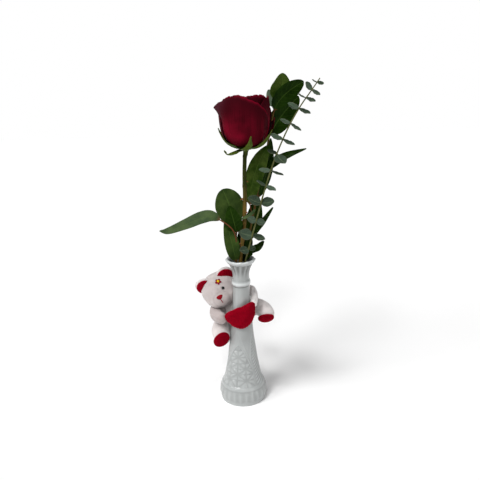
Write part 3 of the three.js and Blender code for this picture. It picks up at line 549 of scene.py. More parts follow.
def plush(name, dark, light, sheen, tint, gloss):
    """Short pile: fine tufts, soft patches where it is brushed, and darker seams; the seam value also
    carries painted shade on some pieces.
    """
    s = Shader(name, Specular_IOR_Level=gloss, Sheen_Weight=sheen, Sheen_Roughness=0.45,
               Sheen_Tint=srgb(*tint), Subsurface_Weight=0.7, Subsurface_Radius=(1, 1, 1),
               Subsurface_Scale=0.009)
    tufts = s.noise(1500, roughness=0.65)
    patches = s.times(s.cloud(85, 0.3, 0.7), 0.45)
    share = s.math("ADD", s.times(s.spread(tufts, 0.3, 0.7), 0.55), patches)
    shade = s.mix(s.attribute("seam"), WHITE, (176, 166, 165))
    colour = s.mix(1.0, s.mix(share, dark, light), shade, "MULTIPLY")
    s.bump(s.noise(420), 0.0006, 0.35)
    s.bump(tufts, 0.0005, 0.9)
    return s.finish(colour, tufts, 0.85, 1.0)


def thread(name, dark, light):
    """Satin stitches, which lie side by side along each piece."""
    s = Shader(name, Specular_IOR_Level=0.08, Sheen_Weight=0.03)
    strands = s.cloud(2600, 0.3, 0.7, 2, (1, 1, 0.25))
    s.bump(strands, 0.0002, 0.8)
    return s.finish(s.mix(strands, dark, light), strands, 0.45, 0.65)


def felt(name, dark, light):
    s = Shader(name, Specular_IOR_Level=0.08, Sheen_Weight=0.05)
    fibres = s.cloud(2200, 0.3, 0.7, 4, roughness=0.7)
    s.bump(fibres, 0.0003, 0.9)
    return s.finish(s.mix(fibres, dark, light), fibres, 0.8, 1.0)


def bead():
    s = Shader("eye_bead", Specular_IOR_Level=0.3, Coat_Weight=0.1, Coat_Roughness=0.03)
    marks = s.cloud(700, 0.4, 0.7)
    return s.finish(s.mix(marks, (4, 4, 8), (14, 14, 20)), marks, 0.08, 0.16)


FINISH = {
    "milk_glass": milk_glass(),
    "water": water(),
    "rose_stem": rose_stem_finish(),
    "rose_petal": petal_finish(),
    "leaf": leaf_finish(),
    "eucalyptus_leaf": eucalyptus_finish(),
    "white_plush": plush("white_plush", (212, 205, 203), (243, 237, 235), 0.25, WHITE, 0.1),
    "red_plush": plush("red_plush", (110, 1, 15), (148, 4, 27), 0.05, (235, 20, 60), 0.02),
    "thread": thread("red_thread", (108, 0, 14), (146, 4, 24)),
    "red_felt": felt("red_felt", (112, 0, 26), (150, 4, 38)),
    "yellow_felt": felt("yellow_felt", (214, 178, 10), (246, 218, 40)),
    "eye_bead": bead(),
}


# Vase


def panel_half_angle(height, top, rise, blunt):
    """Half the angle of a pointed-arch panel at a height, in degrees."""
    arch = np.clip((top - height) / rise, 0, 1) ** blunt
    return np.where(height < PANEL_FOOT, 0, PANEL_STEP / 2 * arch)


def star(across, up, half_width, half_height):
    """Eight raised wedges that point at the middle of a cell, from 0 to 1, over places in millimetres."""
    x, y = across / half_width, up / half_height
    reach = np.maximum(np.abs(x), np.abs(y))
    wedge = np.abs(np.sin(4 * np.arctan2(y, x))) ** 0.8
    return wedge * fade(reach, 0.08, 0.5) * (1 - fade(reach, 0.86, 1.0))


def star_pattern(height, off, arc):
    """Pressed stars of the front panel, from 0 to 1, at an angle off the panel's middle."""
    pattern = np.zeros_like(off)
    for low, middle, high, cells in STAR_ROWS:
        half_height = np.where(height < middle, middle - low, high - middle)
        half_cell = PANEL_STEP / 4 if cells == 2 else TOP_STAR_HALF_ANGLE
        cell_off = np.abs(off) - half_cell if cells == 2 else off
        made = star(cell_off * arc, height - middle, half_cell * arc, half_height)
        pattern = np.where((height > low) & (height <= high), made, pattern)
    up = height - high
    tip = np.abs(np.sin(4.5 * np.arctan2(up, off * arc))) * fade(up, 0.8, 3) * (1 - fade(up, 5.5, 8))
    return np.where(up > 0, tip, pattern)


def off_middle(azimuth):
    """Angle from the middle of the nearest panel."""
    return (azimuth + PANEL_STEP / 2) % PANEL_STEP - PANEL_STEP / 2


def panel_relief(height, azimuth):
    """Pressed stars in the front arch, slanted ribs in the taller side ones, and the moulding round them.

    Returns how far the surface stands out, in millimetres, and its painted light: painted shade in grooves,
    painted highlight on ridges.
    """
    off = off_middle(azimuth - PANEL_AZIMUTH)
    arc = smooth_at(VASE_OUTER, height) * math.pi / 180
    turned = (azimuth - PANEL_AZIMUTH) % 360
    from_front = np.minimum(turned, 360 - turned)
    from_side = np.minimum(np.abs(turned - PANEL_STEP), np.abs(turned - 2 * PANEL_STEP))
    bulge = SIDE_BULGE * fade(height, 54, 80) * (1 - fade(height, 92, 124))
    front_inside = (panel_half_angle(height, *FRONT_ARCH) - from_front) * arc
    side_inside = (panel_half_angle(height, *SIDE_ARCH) + bulge - from_side) * arc
    front = front_inside > side_inside
    inside = np.maximum(front_inside, side_inside)
    ribs = np.abs(np.sin(math.pi * (height - RIB_SLANT * inside) / RIB_PITCH)) ** 0.7
    pattern = np.where(front, star_pattern(height, off, arc), 1.1 * ribs)
    field = fade(inside, 1.6, 3.0) * fade(height, PANEL_FOOT, PANEL_FOOT + 0.8)
    moulding = 0.75 * hump(inside, 0.6, 0.8) - 0.35 * hump(inside, 2.0, 0.6)
    moulding = np.where(height < FRONT_ARCH[0] - FRONT_ARCH[1], 0, moulding)
    # A faint second arch stands round each panel, 10 degrees to one side.
    outer = PANEL_STEP / 2 * np.clip((OUTER_ARCH_TOP - height) / 50, 0, 1) ** 0.7
    line = (outer - np.abs(off_middle(off + 10))) * arc
    between = fade(height, 66, 84) * (1 - fade(inside, -3, 0))
    ghost = 0.3 * hump(line, 0, 1.1) * between - 0.35 * between * fade(-inside, 2, 9)
    lift = RELIEF * (pattern - 0.7) * field + moulding + ghost
    # Painted light follows the relief: lighter on stars, ribs and mouldings, with painted shade in their
    # grooves.
    depth = np.where(front, 0.2, 0.5)
    ridge = PLAIN_PAINTED_LIGHT + field * depth * (pattern - 0.55) + 0.12 * moulding + 0.12 * ghost
    # A painted shadow of the heart darkens the glass between heights of about 92 and 140 mm.
    return lift, ridge - 0.06 * fade(height, 92, 106) * (1 - fade(height, 122, 140))


def vase_surface(height, turn):
    """Outer radius, in millimetres, and painted light from 0 to 1: painted shade in grooves, painted
    highlights on ridges, bead and lip.
    """
    flute = np.abs(np.cos(turn * FOOT_FLUTES / 2)) ** 0.9
    flute_top = FLUTE_TOP + 4 * flute
    fluted = (1 - fade(height, flute_top, flute_top + 2)) * fade(height, 4.4, 7.6)
    sole = 1 - fade(height, 3.2, 5)
    band = fade(height, *BAND_FOOT) * (1 - fade(height, *BAND_TOP))
    lift, panel_painted_light = panel_relief(height, np.degrees(turn))
    above = height >= PANEL_FOOT
    groove = (0.5 - 0.5 * np.cos(turn * NECK_FLUTES)) ** 0.9
    necked = fade(height, 199, 216) * (1 - fade(height, LIP_FROM - 3, LIP_FROM))
    lip = fade(height, LIP_FROM - 1.2, LIP_FROM + 0.8)
    radius = smooth_at(VASE_OUTER, height) - FOOT_FLUTE * flute * fluted + 0.5 * sole + BAND_LIFT * band
    radius = radius + np.where(above, lift, 0) - NECK_FLUTE * groove * necked
    radius = radius - 1.1 * hump(height, LIP_FROM - 1.6, 2.2)
    radius = radius + lip * (0.75 + 0.3 * np.cos(turn * NECK_FLUTES))
    # Painted light on the foot: lighter on flute ridges, sole and band, with painted shade between the
    # flutes and under the band.
    ridge = PLAIN_PAINTED_LIGHT + (0.08 - 0.16 * flute) * fluted + 0.08 * (sole + band) - 0.14 * hump(height, 23.2, 0.9)
    ridge = np.where(above, panel_painted_light, ridge)
    # Painted highlight on the bead, and painted shade in the groove below it.
    ridge = ridge + 0.6 * hump(height, BEAD_HEIGHT, 2.6) - 0.5 * hump(height, BEAD_HEIGHT - 4.9, 0.9)
    # Painted shade in the neck's flutes, and a painted highlight on the lip.
    return radius, np.clip(ridge + (-0.08 - 0.4 * groove) * necked + 0.25 * lip, 0, 1)


def vase():
    heights = np.concatenate([np.linspace(a, b, n, endpoint=False) for a, b, n in VASE_ROWS])[:, None]
    inner_heights = np.concatenate([np.linspace(226.6, 200, 16), np.linspace(195, 9, 22)])[:, None]
    turn = turns(VASE_SIDES)
    wave = np.cos(turn * NECK_FLUTES)
    radius, ridge = vase_surface(heights + 0 * turn, turn + 0 * heights)
    rim = vase_surface(RIM_HEIGHT + 0 * turn, turn)[0]
    sole = [about_z(r, turn, z) for r, z in SOLE_RINGS]
    outside = about_z(radius, turn, heights + SCALLOP * fade(heights, 216, 228) * wave)
    lip = [about_z(rim - inwards, turn, RIM_HEIGHT + SCALLOP * wave + up) for inwards, up in LIP_RINGS]
    inner = smooth_at(VASE_INNER, inner_heights) + 0.3 * fade(inner_heights, 212, 226) * wave
    points = np.concatenate([*sole, outside, *lip, about_z(inner, turn, inner_heights)])
    # Painted light: a plain level under the foot, the relief's painted light outside, and a painted
    # highlight on the lip.
    painted_light_rows = np.full(points.shape[:2], PLAIN_PAINTED_LIGHT)
    painted_light_rows[len(sole):len(sole) + len(heights)] = ridge
    painted_light_rows[len(sole) + len(heights):-len(inner)] = RIM_PAINTED_LIGHT
    # Marks the inside rows, which get the painted shade colour.
    hollow = np.arange(len(points))[:, None] >= len(points) - len(inner)
    build = Build()
    add_skin(build, points, hollow=hollow, ridge=painted_light_rows)
    piece("vase_milk_glass", build, "milk_glass", "vase")


# Leaves and petals


def add_leaf(build, spine, half_width, facing, rows=44, columns=19, thickness=0.45, seed=0, fold=0.25,
             stalk=0.12, widest=0.85, blunt=0.7, wave=0.5, tone=0.0, pale=0.0, curl=0.0):
    """Leaf along a spine, facing a direction: folded on its rib, waved at its edges, curled near its tip."""
    v = np.linspace(0, 1, rows)[:, None]
    u = np.linspace(-1, 1, columns)[None]
    tangent = tangents_of(spine, v)
    side = unit(np.cross(tangent, unit(np.array(facing, float))))
    raised = unit(np.cross(side, tangent))
    body = np.clip((v - stalk) / (1 - stalk), 0, 1)
    outline = np.clip(np.sin(math.pi * body ** widest), 0, 1) ** blunt
    stem = 1 - fade(v, stalk * 0.9, stalk + 0.06)
    width = 0.75 + (half_width - 0.3) * outline
    waves = np.random.default_rng(SEED + seed)
    beat, phase = waves.uniform(2.0, 3.5, 2), waves.uniform(0, 6, 2)
    half = np.where(u > 0, 0, 1)
    edge = np.sin(v * beat[half] * 2 * math.pi + phase[half])
    lift = fold * (np.sqrt(u * u + 0.01) - 0.1) * width + wave * edge * np.abs(u) ** 2.5 * outline
    lift = lift - curl * u * u * width * fade(v, 0.4, 1) - 0.35 * hump(u * width, 0, 0.8) * outline
    points = along(spine, v) + side * (u * width)[..., None] + raised * lift[..., None]
    thick = thickness + 0.9 * hump(u * width, 0, 0.9) * (1 - 0.7 * v) + 0.4 * stem
    add_sheet(build, points, thick, across=u, along=v, tone=tone, pale=pale, stalk=stem)


# Sepals: half width, then the spine
SEPALS = [
    (7.2, [(11, -1, 391.5), (1, -9, 391.8), (-6, -12, 394), (-14.5, -14, 399.5), (-21, -14, 408),
           (-25.8, -12.5, 420)]),
    (5.7, [(11, -1, 390), (0, -15, 387), (-8, -24, 384.6), (-15, -27, 386), (-18.3, -26, 391)]),
    (7.8, [(11, -1, 390), (10, -13, 389.6), (11.5, -28, 390.6), (16.5, -36, 397), (18.3, -38, 409.5)]),
    (6, [(11, -1, 391.5), (24, -10, 391.2), (35.5, -19, 397), (42, -24, 406), (47.3, -26, 417)]),
    (6.2, [(11, -1, 390), (12, 10, 391), (13, 24, 391), (16, 35, 396), (15, 38, 408)]),
]
# Height, azimuth and size
THORNS = [(252, -60, 5), (276, 150, 5), (300, 40, 4.5), (319, -85, 5), (344, 110, 4.5)]


def add_thorn(build, height, azimuth, size):
    outward = about_z(1, math.radians(azimuth), 0)
    root = at_height(ROSE_STEM_PATH, height) + outward * 2.2
    tip = root + outward * size * 0.95 - (0, 0, 0.28 * size)
    middle = (root + tip) / 2 + (0, 0, 0.12 * size)
    radii = [size * 0.42, size * 0.2, 0.12]
    add_tube(build, [root, middle, tip], radii, 10, 10, thorn=lambda t: fade(t, 0.1, 0.5))


def add_upright(build, rings, **values):
    """Round body on the bloom's axis, from heights over its base and the radii there."""
    path = [BLOOM_BASE + (0, 0, height) for height, _ in rings]
    add_tube(build, path, [radius for _, radius in rings], 20, 24, **values)


def rose_stem():
    build = Build()

    def knots(t, turn):
        return sum(0.45 * hump(t, place, 0.008) for place in STEM_KNOTS) + 0.12 * np.sin(3 * turn + 9 * t)

    add_tube(build, ROSE_STEM_PATH, ROSE_STEM_RADII, 150, 20, knots, along=lambda t: t)
    add_upright(build, HIP, bumps=lambda t, turn: 0.25 * np.cos(5 * turn), along=1, sepal=0.4)
    for i, (half_width, spine) in enumerate(SEPALS):
        leafy = Build()
        add_leaf(leafy, spine, half_width, (0, 0, 1), 40, 11, seed=i, stalk=0, widest=0.6, blunt=0.75,
                 wave=0.4)
        build.add(np.concatenate(leafy.points), leafy.faces, sepal=1, along=1)
    for thorn in THORNS:
        add_thorn(build, *thorn)
    piece("rose_stem_with_sepals", build, "rose_stem", "rose_stem")


def cup_radius(radius, height):
    """Radius of the bloom's cup at a height over its base, for a petal of one radius."""
    low = np.clip(height / BLOOM_WIDEST, 0.0005, 1)
    closing = np.clip((height - BLOOM_WIDEST) / (BLOOM_HEIGHT - BLOOM_WIDEST), 0, 1.2)
    return radius * (1 - (1 - low) ** 2.6) ** 0.25 * (1 - 0.13 * closing ** 2)


def round_rim(height):
    corner, shoulder = height * 0.66, height * 0.93
    return [(-1, corner), (-0.6, shoulder), (0, height), (0.6, shoulder), (1, corner)]


# Outer petals, listed one by one: azimuth, half span, radius, then the rim's height and roll by place
# across.
# curl turns the rolled rim down again.
OUTER_PETALS = [
    {"azimuth": -4, "span": 72, "radius": 34.2,
     "roll": [(-1, 11), (-0.8, 10), (-0.6, 6), (-0.4, 1.5), (-0.1, 0.6), (1, 1.5)],
     "rim": [(-1, 58), (-0.75, 64), (-0.5, 64.5), (-0.18, 68), (0.15, 63), (0.65, 51), (0.85, 42), (1, 24)],
     "curl": [(-1, 6), (-0.75, 5), (-0.5, 0.5), (-0.35, 0), (1, 0)]},
    {"azimuth": 98, "span": 26, "radius": 36.6, "roll": [(-1, 3), (0, 5), (1, 2)],
     "rim": [(-1, 12), (0, 37), (0.4, 33), (1, 12)]},
    {"azimuth": -116, "span": 46, "radius": 35.2, "rim": round_rim(55), "roll": [(-1, 2), (1, 1)]},
    {"azimuth": 152, "span": 60, "radius": 34.8, "rim": round_rim(64), "roll": [(-1, 2), (1, 3)],
     "curl": [(-1, 0), (0, 3), (1, 0)]},
    {"azimuth": 84, "span": 60, "radius": 34.2, "rim": round_rim(66), "roll": [(-1, 1), (1, 1)]},
    {"azimuth": -150, "span": 60, "radius": 33.8, "rim": round_rim(63), "roll": [(-1, 3), (1, 1)],
     "curl": [(-1, 2), (0, 0), (1, 0)]},
    {"azimuth": -42, "span": 60, "radius": 31.6, "rim": round_rim(66), "roll": [(-1, 1), (1, 0.5)]},
    {"azimuth": 38, "span": 60, "radius": 30.1, "rim": round_rim(68), "roll": [(-1, 0.5), (1, 1)]},
]
INNER_PETALS = 14


def ragged_line(waves, u, least, most, beats):
    """Uneven line across a petal, from sines of some beats."""
    return sum(waves.uniform(least, most) * np.sin(u * k + waves.uniform(0, 6)) for k in beats)


def add_petal(build, azimuth, span, radius, rim, roll, curl=((-1, 0), (1, 0)), inner=0.0, seed=0,
              rows=40, columns=41):
    """Petal of the cup: half span in degrees, then the rim's height and its roll by place across."""
    waves = np.random.default_rng(SEED + 50 + seed)
    u = np.linspace(-1, 1, columns)[None]
    v = np.linspace(0, 1, rows)[:, None]
    lift = 0.8 * (WIDEST_PETAL - radius)
    top = smooth_at(rim, u) + ragged_line(waves, u, 0.15, 0.5, (5, 9, 17, 31)) * (1 - 0.5 * inner)
    height = 0.02 + (top - lift) * v ** 1.6
    lean = np.clip((v - 0.6) / 0.4, 0, 1)
    down = smooth_at(curl, u) * lean ** 3.2
    around = np.radians(azimuth + span * u * (0.72 + 0.28 * np.clip(height / 24, 0, 1)))
    pleat = ragged_line(waves, u, 0.1, 0.35, (4, 7, 12)) * fade(v, 0.15, 0.8)
    tuck = -0.9 * fade(np.abs(u), 0.7, 1.0) * (1 - fade(v, 0.9, 1.0) * 0.5)
    out = cup_radius(radius, height) + smooth_at(roll, u) * lean ** 2 + pleat + tuck
    out = out * (1 - 0.10 * inner * fade(v, 0.5, 1))
    sag = (1.8 + 0.6 * lift) * np.clip(1 - height / 30, 0, 1) * (1 - inner)
    # Painted highlight along the top edge, on all but its left part.
    edge = fade(v, 0.965, 0.995) * 0.8 * fade(u, -0.45, -0.15)
    # Painted sheen on the rolled-down lip and along the outer petals' left edge.
    lip = np.clip(down / 4 + 0.45 * fade(-u, 0.7, 0.95) * fade(v, 0.4, 0.8) * (inner == 0), 0, 1)
    points = about_z(out, around, lift + height - down - sag) + BLOOM_BASE
    add_sheet(build, points, PETAL_THICKNESS, across=u, along=v, inner=inner, rim=edge, lip=lip)


def bloom():
    build = Build()
    for i, shape in enumerate(OUTER_PETALS):
        add_petal(build, seed=i, **shape)
    for i in range(INNER_PETALS):
        rim, roll = round_rim(67.8 - 0.25 * i), [(-1, 0.9), (0, 0.4), (1, 0.3)]
        add_petal(build, 60 + i * GOLDEN_ANGLE, 62 + 5 * i, max(28 - 1.85 * i, 2.6), rim, roll,
                  inner=0.3 + 0.7 * i / INNER_PETALS, seed=20 + i, rows=26, columns=31)
    add_upright(build, BLOOM_CORE, inner=1.0)
    piece("rose_bloom_petals", build, "rose_petal", "rose_bloom")


# Sprigs: the same stems and leaves as the solids, finer

SPRIG_RADII = [1.45, 1.45, 1.4, 1.3, 1.2]
RIGHT_STEM = [
    (6, 14, 9.35), (5.4, 7.2, 130), (4.9, 5.8, 190), (5.2, 6, 212), (8, 7.5, 230), (13, 9, 255),
    (22, 10, 300), (33, 12.5, 350), (43.5, 16.5, 395), (50.5, 20, 430), (55, 21.5, 452),
]
RIGHT_LEAVES = [
    ([(54.6, 21.3, 450), (59, 24, 460), (64, 25, 474), (65.5, 24, 490.5)], 13.5, (0, -1, 0.2),
     {"blunt": 0.6, "tone": 0.95}),
    ([(51.8, 20.4, 436), (57.5, 17, 450), (71.5, 13, 465), (93.3, 13, 478.5)], 13, (0.1, -1, -0.3),
     {"widest": 1.15, "blunt": 0.6}),
    ([(45, 17.2, 402), (52, 25, 415), (66, 26, 435), (88, 24, 459)], 16, (0.2, -1, -0.1),
     {"widest": 1.1, "blunt": 0.6}),
    ([(53.2, 20.8, 443), (49, 24, 455), (46, 26, 469)], 6.5, (0.3, -1, 0), {"blunt": 0.6, "pale": 1}),
    ([(19.7, 9.6, 290), (16, 7.5, 315), (23, 7.5, 350), (32.5, 7.5, 374), (44, 7.5, 393.5)], 12.5,
     (-0.2, -1, 0), {"fold": -0.2, "stalk": 0.2, "tone": 1.0}),
    ([(34, 12.8, 352), (46, 12.5, 364), (68, 11, 377), (98, 12, 387)], 6.5, (0, -0.8, 0.6),
     {"widest": 0.7, "blunt": 0.9}),
    ([(24.3, 10.6, 310), (35, 17, 334), (44.5, 21, 366), (48, 21, 402)], 8, (0.5, -1, 0), {}),
    ([(13.6, 9.1, 258), (18.5, 13, 274), (23.5, 15, 293), (28, 15, 321)], 12.5, (0, -1, 0.1),
     {"fold": 0.1, "stalk": 0.03, "tone": 0}),
    ([(12, 8.7, 250), (20, 11, 264), (34, 13, 281), (50, 12, 303)], 4.5, (0.5, -0.8, 0.5), {"widest": 0.75}),
    ([(8.4, 7.6, 232), (18, 4, 240), (27, 2, 245), (35.5, 1, 255)], 5.5, (0.2, -0.7, 0.7), {}),
    ([(7.6, 7.3, 228), (10, 6.4, 240), (11, 6.2, 254), (9, 7.5, 270)], 5.5, (0, -1, 0), {"stalk": 0.2}),
    ([(8, 7.5, 229), (8, 13, 240), (7, 15.5, 256), (5, 15.5, 278)], 11.5, (0, -1, 0.1), {"stalk": 0.2}),
]
# Small leaves which the solids leave out: dark ones that fill the vase's mouth, and a light one higher up
SMALL_LEAVES = [
    ([(7, 7.4, 222), (3, 10.5, 232), (0, 11, 243), (-2, 10.5, 254)], 6.5, (0.1, -1, 0.2), {"stalk": 0.1}),
    ([(7, 7.4, 221), (10, 9.5, 230), (12.5, 10.5, 239), (16, 11, 247)], 5.5, (-0.1, -1, 0.4),
     {"stalk": 0.1}),
    ([(6, 6.8, 220), (5, 5, 229), (3.8, 4.6, 238), (2.8, 5.5, 248)], 5, (0, -1, 0.1), {"stalk": 0.1}),
    ([(7, 7.4, 223), (11, 4, 229), (14.5, 2, 233), (18.5, 1, 235)], 4.5, (0, -0.5, 1), {"stalk": 0.1}),
    ([(24, 9.8, 304), (21, 0.5, 300), (15.6, -4.6, 296.1), (7, -5.4, 292), (-1.5, -5, 289.5)], 1.9,
     (0, -0.8, 0.6), {"stalk": 0.1, "tone": 1, "pale": 0.25}),
]
LEFT_STEM = [
    (-14, -6, 9.35), (-7.4, -2.8, 130), (-5.8, -1.8, 190), (-5.7, -1.5, 212), (-6.2, -1, 232),
    (-6, 0.4, 252), (-4.6, 2, 268), (-4, 3, 278),
]
LEFT_LEAVES = [
    ([(-4, 3, 276), (-9, 6, 290), (-15, 6.5, 312), (-23, 5, 333)], 20.5, (0.1, -1, 0.1),
     {"fold": -0.1, "widest": 1.1, "blunt": 0.55, "tone": 0.5, "pale": 0.05}),
    ([(-4.8, 1.8, 266), (-6, -3, 277), (-9, -6, 292), (-13.5, -7, 311)], 12, (-0.1, -1, 0), {"fold": 0.3}),
    ([(-6.2, -0.8, 246), (-5.5, -5.6, 262), (-11, -8, 277), (-27.7, -8, 290.5), (-40, -8, 296),
      (-54, -9, 294.5), (-78, -11, 285.5), (-105, -12, 276.5), (-115, -12, 277.5)], 9.5, (0, -0.75, 0.65),
     {"stalk": 0.38, "widest": 0.68, "blunt": 0.95, "fold": 0.2, "tone": 0.55, "pale": 0.22, "rows": 70}),
    ([(-5.9, -1.4, 224), (-9.5, -4.6, 242), (-14.5, -2.5, 266), (-20, 1, 292)], 10, (0.1, -1, 0.2),
     {"stalk": 0.04, "tone": 0.45, "pale": 0.04}),
]


def sprig(name, stem, leaves, node):
    build = Build()
    add_tube(build, stem, SPRIG_RADII, 90, 12, along=lambda t: t, stalk=0.6, tone=0.3)
    for i, (spine, half_width, facing, shape) in enumerate(leaves):
        add_leaf(build, spine, half_width, facing, seed=7 * i, **shape)
    piece(name, build, "leaf", node)


EUCALYPTUS_STEM = [
    (10, -12, 9.35), (6.6, -6, 130), (5.7, -4.7, 190), (5.8, -4.8, 212), (8.4, -6.8, 230), (13.5, -9.5, 250),
    (24.8, -13, 291.5), (35.5, -16, 330.5), (45.8, -18, 363), (55.7, -19.5, 389.5), (70.3, -20, 421),
    (85, -20, 446), (100.8, -19, 467.5), (110.5, -19, 481),
]
EUCALYPTUS_RADII = [1.2, 1.2, 1.2, 1.15, 1.05, 0.9, 0.7]
# Height of the node and turn about the stem in degrees, then the left and the right leaf, each with its
# length, its lift, its tilt towards the front in degrees, and how far it is cupped
EUCALYPTUS_PAIRS = [
    (246, 38, (16, -4, 42, 0.15), (12, 15, 30, 0.15)),
    (267, 8, (20, 5, 62, 0.5), (20, -4, 14, 0.2)),
    (289, 0, (13, 3, 55, 0.5), (13, 0, 50, 0.5)),
    (315, 0, (20, 10, 42, 0.4), (19, 24, 42, 0.4)),
    (340, 0, (15, 12, 8, 0.15), (15.5, -10, -38, 0.15)),
    (361, 0, (16.5, -12, -36, 0.12), (19, -2, 2, 0.12)),
    (383, -48, (17, 5, 18, 0.12), (21, -14, 50, 0.12)),
    (403, 0, (19.5, 0, -26, 0.12), (18, 0, 16, 0.12)),
    (424, 0, (15, -6, -24, 0.12), (17.5, -6, 17, 0.12)),
    (443, 0, (16.5, -6, -28, 0.12), (17, 10, 22, 0.12)),
    (456.5, 0, (12.5, -10, 12, 0.12), (13.5, 18, 28, 0.12)),
    (466.5, 0, (13, 16, 45, 0.12), (13, 6, 30, 0.12)),
    (476, 0, (7.5, -8, 10, 0.1), (9, 24, 35, 0.1)),
]


def tilted(first, second, degrees):
    """Direction at an angle from one direction towards another."""
    return first * math.cos(math.radians(degrees)) + second * math.sin(math.radians(degrees))


def eucalyptus():
    build = Build()
    add_tube(build, EUCALYPTUS_STEM, EUCALYPTUS_RADII, 120, 10, along=lambda t: t, stalk=1.0)
    for i, (height, turn, *leaves) in enumerate(EUCALYPTUS_PAIRS):
        node = at_height(EUCALYPTUS_STEM, height)
        upward = unit(at_height(EUCALYPTUS_STEM, height + 1) - node)
        turning = np.array(Matrix.Rotation(math.radians(turn), 3, Vector(upward)))
        across = turning @ unit(np.cross((0, 1, 0), upward))
        for sign, (length, lift, tilt, fold) in zip((-1, 1), leaves):
            outward = tilted(across * sign, upward, lift)
            spine = [node, node + outward * length * 0.5 - upward * 0.06 * length, node + outward * length]
            facing = tilted(upward, np.array([0, -1, 0]), tilt)
            add_leaf(build, spine, length * 0.4, facing, 26, 15, 0.4, 100 + 2 * i + sign, fold=fold,
                     stalk=0.02, widest=0.9, blunt=0.62, wave=0.25, tone=0.1 + 0.15 * (i % 3), curl=-0.15)
    piece("eucalyptus_leaves", build, "eucalyptus_leaf", "eucalyptus_sprig")


# Plush bear


def head_matrix():
    """From the head's frame, whose face looks towards -Y, to the row frame."""
    x, y, z = (Matrix.Rotation(math.radians(a), 3, axis) for a, axis in zip(HEAD_TURN, "XYZ"))
    return np.array(x @ y @ z)


HEAD = head_matrix()


def from_head(points):
    return points @ HEAD.T + np.array(HEAD_CENTRE)


def off_vase(points):
    """Points moved straight out from the vase's axis, where they would be inside it or nearly touch it."""
    radius = np.hypot(points[..., 0], points[..., 1])
    wall = smooth_at(VASE_OUTER, points[..., 2]) + VASE_CLEARANCE
    short = np.maximum(wall - radius, 0)
    push = short + 0.25 * np.exp(-np.abs(radius - wall) / 1.5) * (radius < wall + 6)
    moved = points.copy()
    moved[..., :2] += (points[..., :2] / np.maximum(radius, 1)[..., None]) * push[..., None]
    return moved


def soft_union(first, second, blend):
    h = np.clip(0.5 + 0.5 * (second - first) / blend, 0, 1)
    return second * (1 - h) + first * h - blend * h * (1 - h)


def lump(points, centre, radii):
    """Rough distance to an ellipsoid, negative inside it."""
    scaled = (points - np.array(centre, float)) / np.array(radii, float)
    length = np.linalg.norm(scaled, axis=-1)
    return (length - 1) * min(radii)


def head_shape(points):
    """Rough distance to the head's skin in the head's frame, negative inside it."""
    skull = lump(points, (0, 0, 0), SKULL_RADII)
    cheeks = np.minimum(*(lump(points, (x, -15, -12), CHEEK_RADII) for x in (-9, 9)))
    body = soft_union(skull, cheeks, 5)
    body = soft_union(body, lump(points, MUZZLE_CENTRE, MUZZLE_RADII), 1.6)
    for x, depth in ((EYE_PLACE[0], 1.0), (-EYE_PLACE[0], 1.5)):
        dent = np.linalg.norm(points - np.array([x, -26.2, EYE_PLACE[1]]), axis=-1)
        body = body + depth * hump(dent, 0, 3.0)
    return body


def star_surface(shape, centre, rows, columns):
    """Points where a shape is 0, along rays from a centre, and those rays. The poles lie on Z."""
    rays = sphere(rows, columns, 0.004)
    low, high = np.zeros((rows, columns)), np.full((rows, columns), 60.0)
    for _ in range(26):
        middle = (low + high) / 2
        inside = shape(centre + rays * middle[..., None]) < 0
        low, high = np.where(inside, middle, low), np.where(inside, high, middle)
    return centre + rays * low[..., None], rays


def fuzz(points, normals, amount=0.28):
    """Pile: each point stands a little in or out along its normal."""
    pile = amount * (0.6 * ripple(points, 2.2, 3) + 0.4 * ripple(points, 5.5, 4))
    return points + normals * pile[..., None]


def head():
    points, rays = star_surface(head_shape, np.array(HEAD_MIDDLE), 150, 220)
    seam = hump(points[..., 0], 0, 0.55) * (points[..., 1] > 4)
    muzzle_painted_shade = hump(lump(points, MUZZLE_CENTRE, MUZZLE_RADII), 0, 1.2)
    points = points - rays * (0.45 * seam)[..., None]
    points = fuzz(points + rays * (0.45 * ripple(points, 17, 12))[..., None], rays)
    # tint darkens the whole head a little and the seam more, and adds painted shade in the crease round the
    # muzzle.
    tint = np.clip(0.55 + 0.5 * seam + 0.2 * muzzle_painted_shade, 0, 1)
    plush_piece("bear_head", off_vase(from_head(points)), tint, fill=0.85)


def ear_points(side, half_width, half_depth, height, lift, rows=60, columns=96):
    """Cupped disc in the plane of an ear, lifted off its middle towards the front."""
    mirror = np.array([side, 1, 1])
    out = unit(np.array(EAR_OUT) * mirror)
    back = unit(np.cross(out, np.array(EAR_SEAM) * mirror)) * side
    across = np.cross(back, out)
    polar = pole_to_pole(rows, 0.01)
    turn = turns(columns)
    flat = np.sin(polar) ** 0.8
    x, z = flat * half_width * np.cos(turn), flat * height * np.sin(turn)
    y = -np.cos(polar) * half_depth + 0.012 * (x * x + z * z) - 1.0 - lift
    local = x[..., None] * across + y[..., None] * back + z[..., None] * out
    return local + EAR_CENTRE * mirror + (0.6 - 0.6 * side, 0, 1.4)


def ears():
    for word, side in (("left", -1), ("right", 1)):
        for node, size, pile, seam, colour, fill in EAR_LAYERS:
            points = ear_points(side, *size)
            points = fuzz(points, unit(points - points.mean((0, 1))), pile)
            plush_piece(node + word, off_vase(from_head(points)), seam, colour, fill)


def on_head(x, z, out):
    """Point at a distance outside the head's skin, in front of (x, z) of the head's frame."""
    depths = np.linspace(-40, 0, 2001)
    line = np.stack([np.full_like(depths, x), depths, np.full_like(depths, z)], -1)
    hit = line[np.argmax(head_shape(line) < 0)]
    slope = unit(np.array([head_shape(hit + s) - head_shape(hit - s) for s in np.eye(3) * 0.2]))
    return hit + slope * out


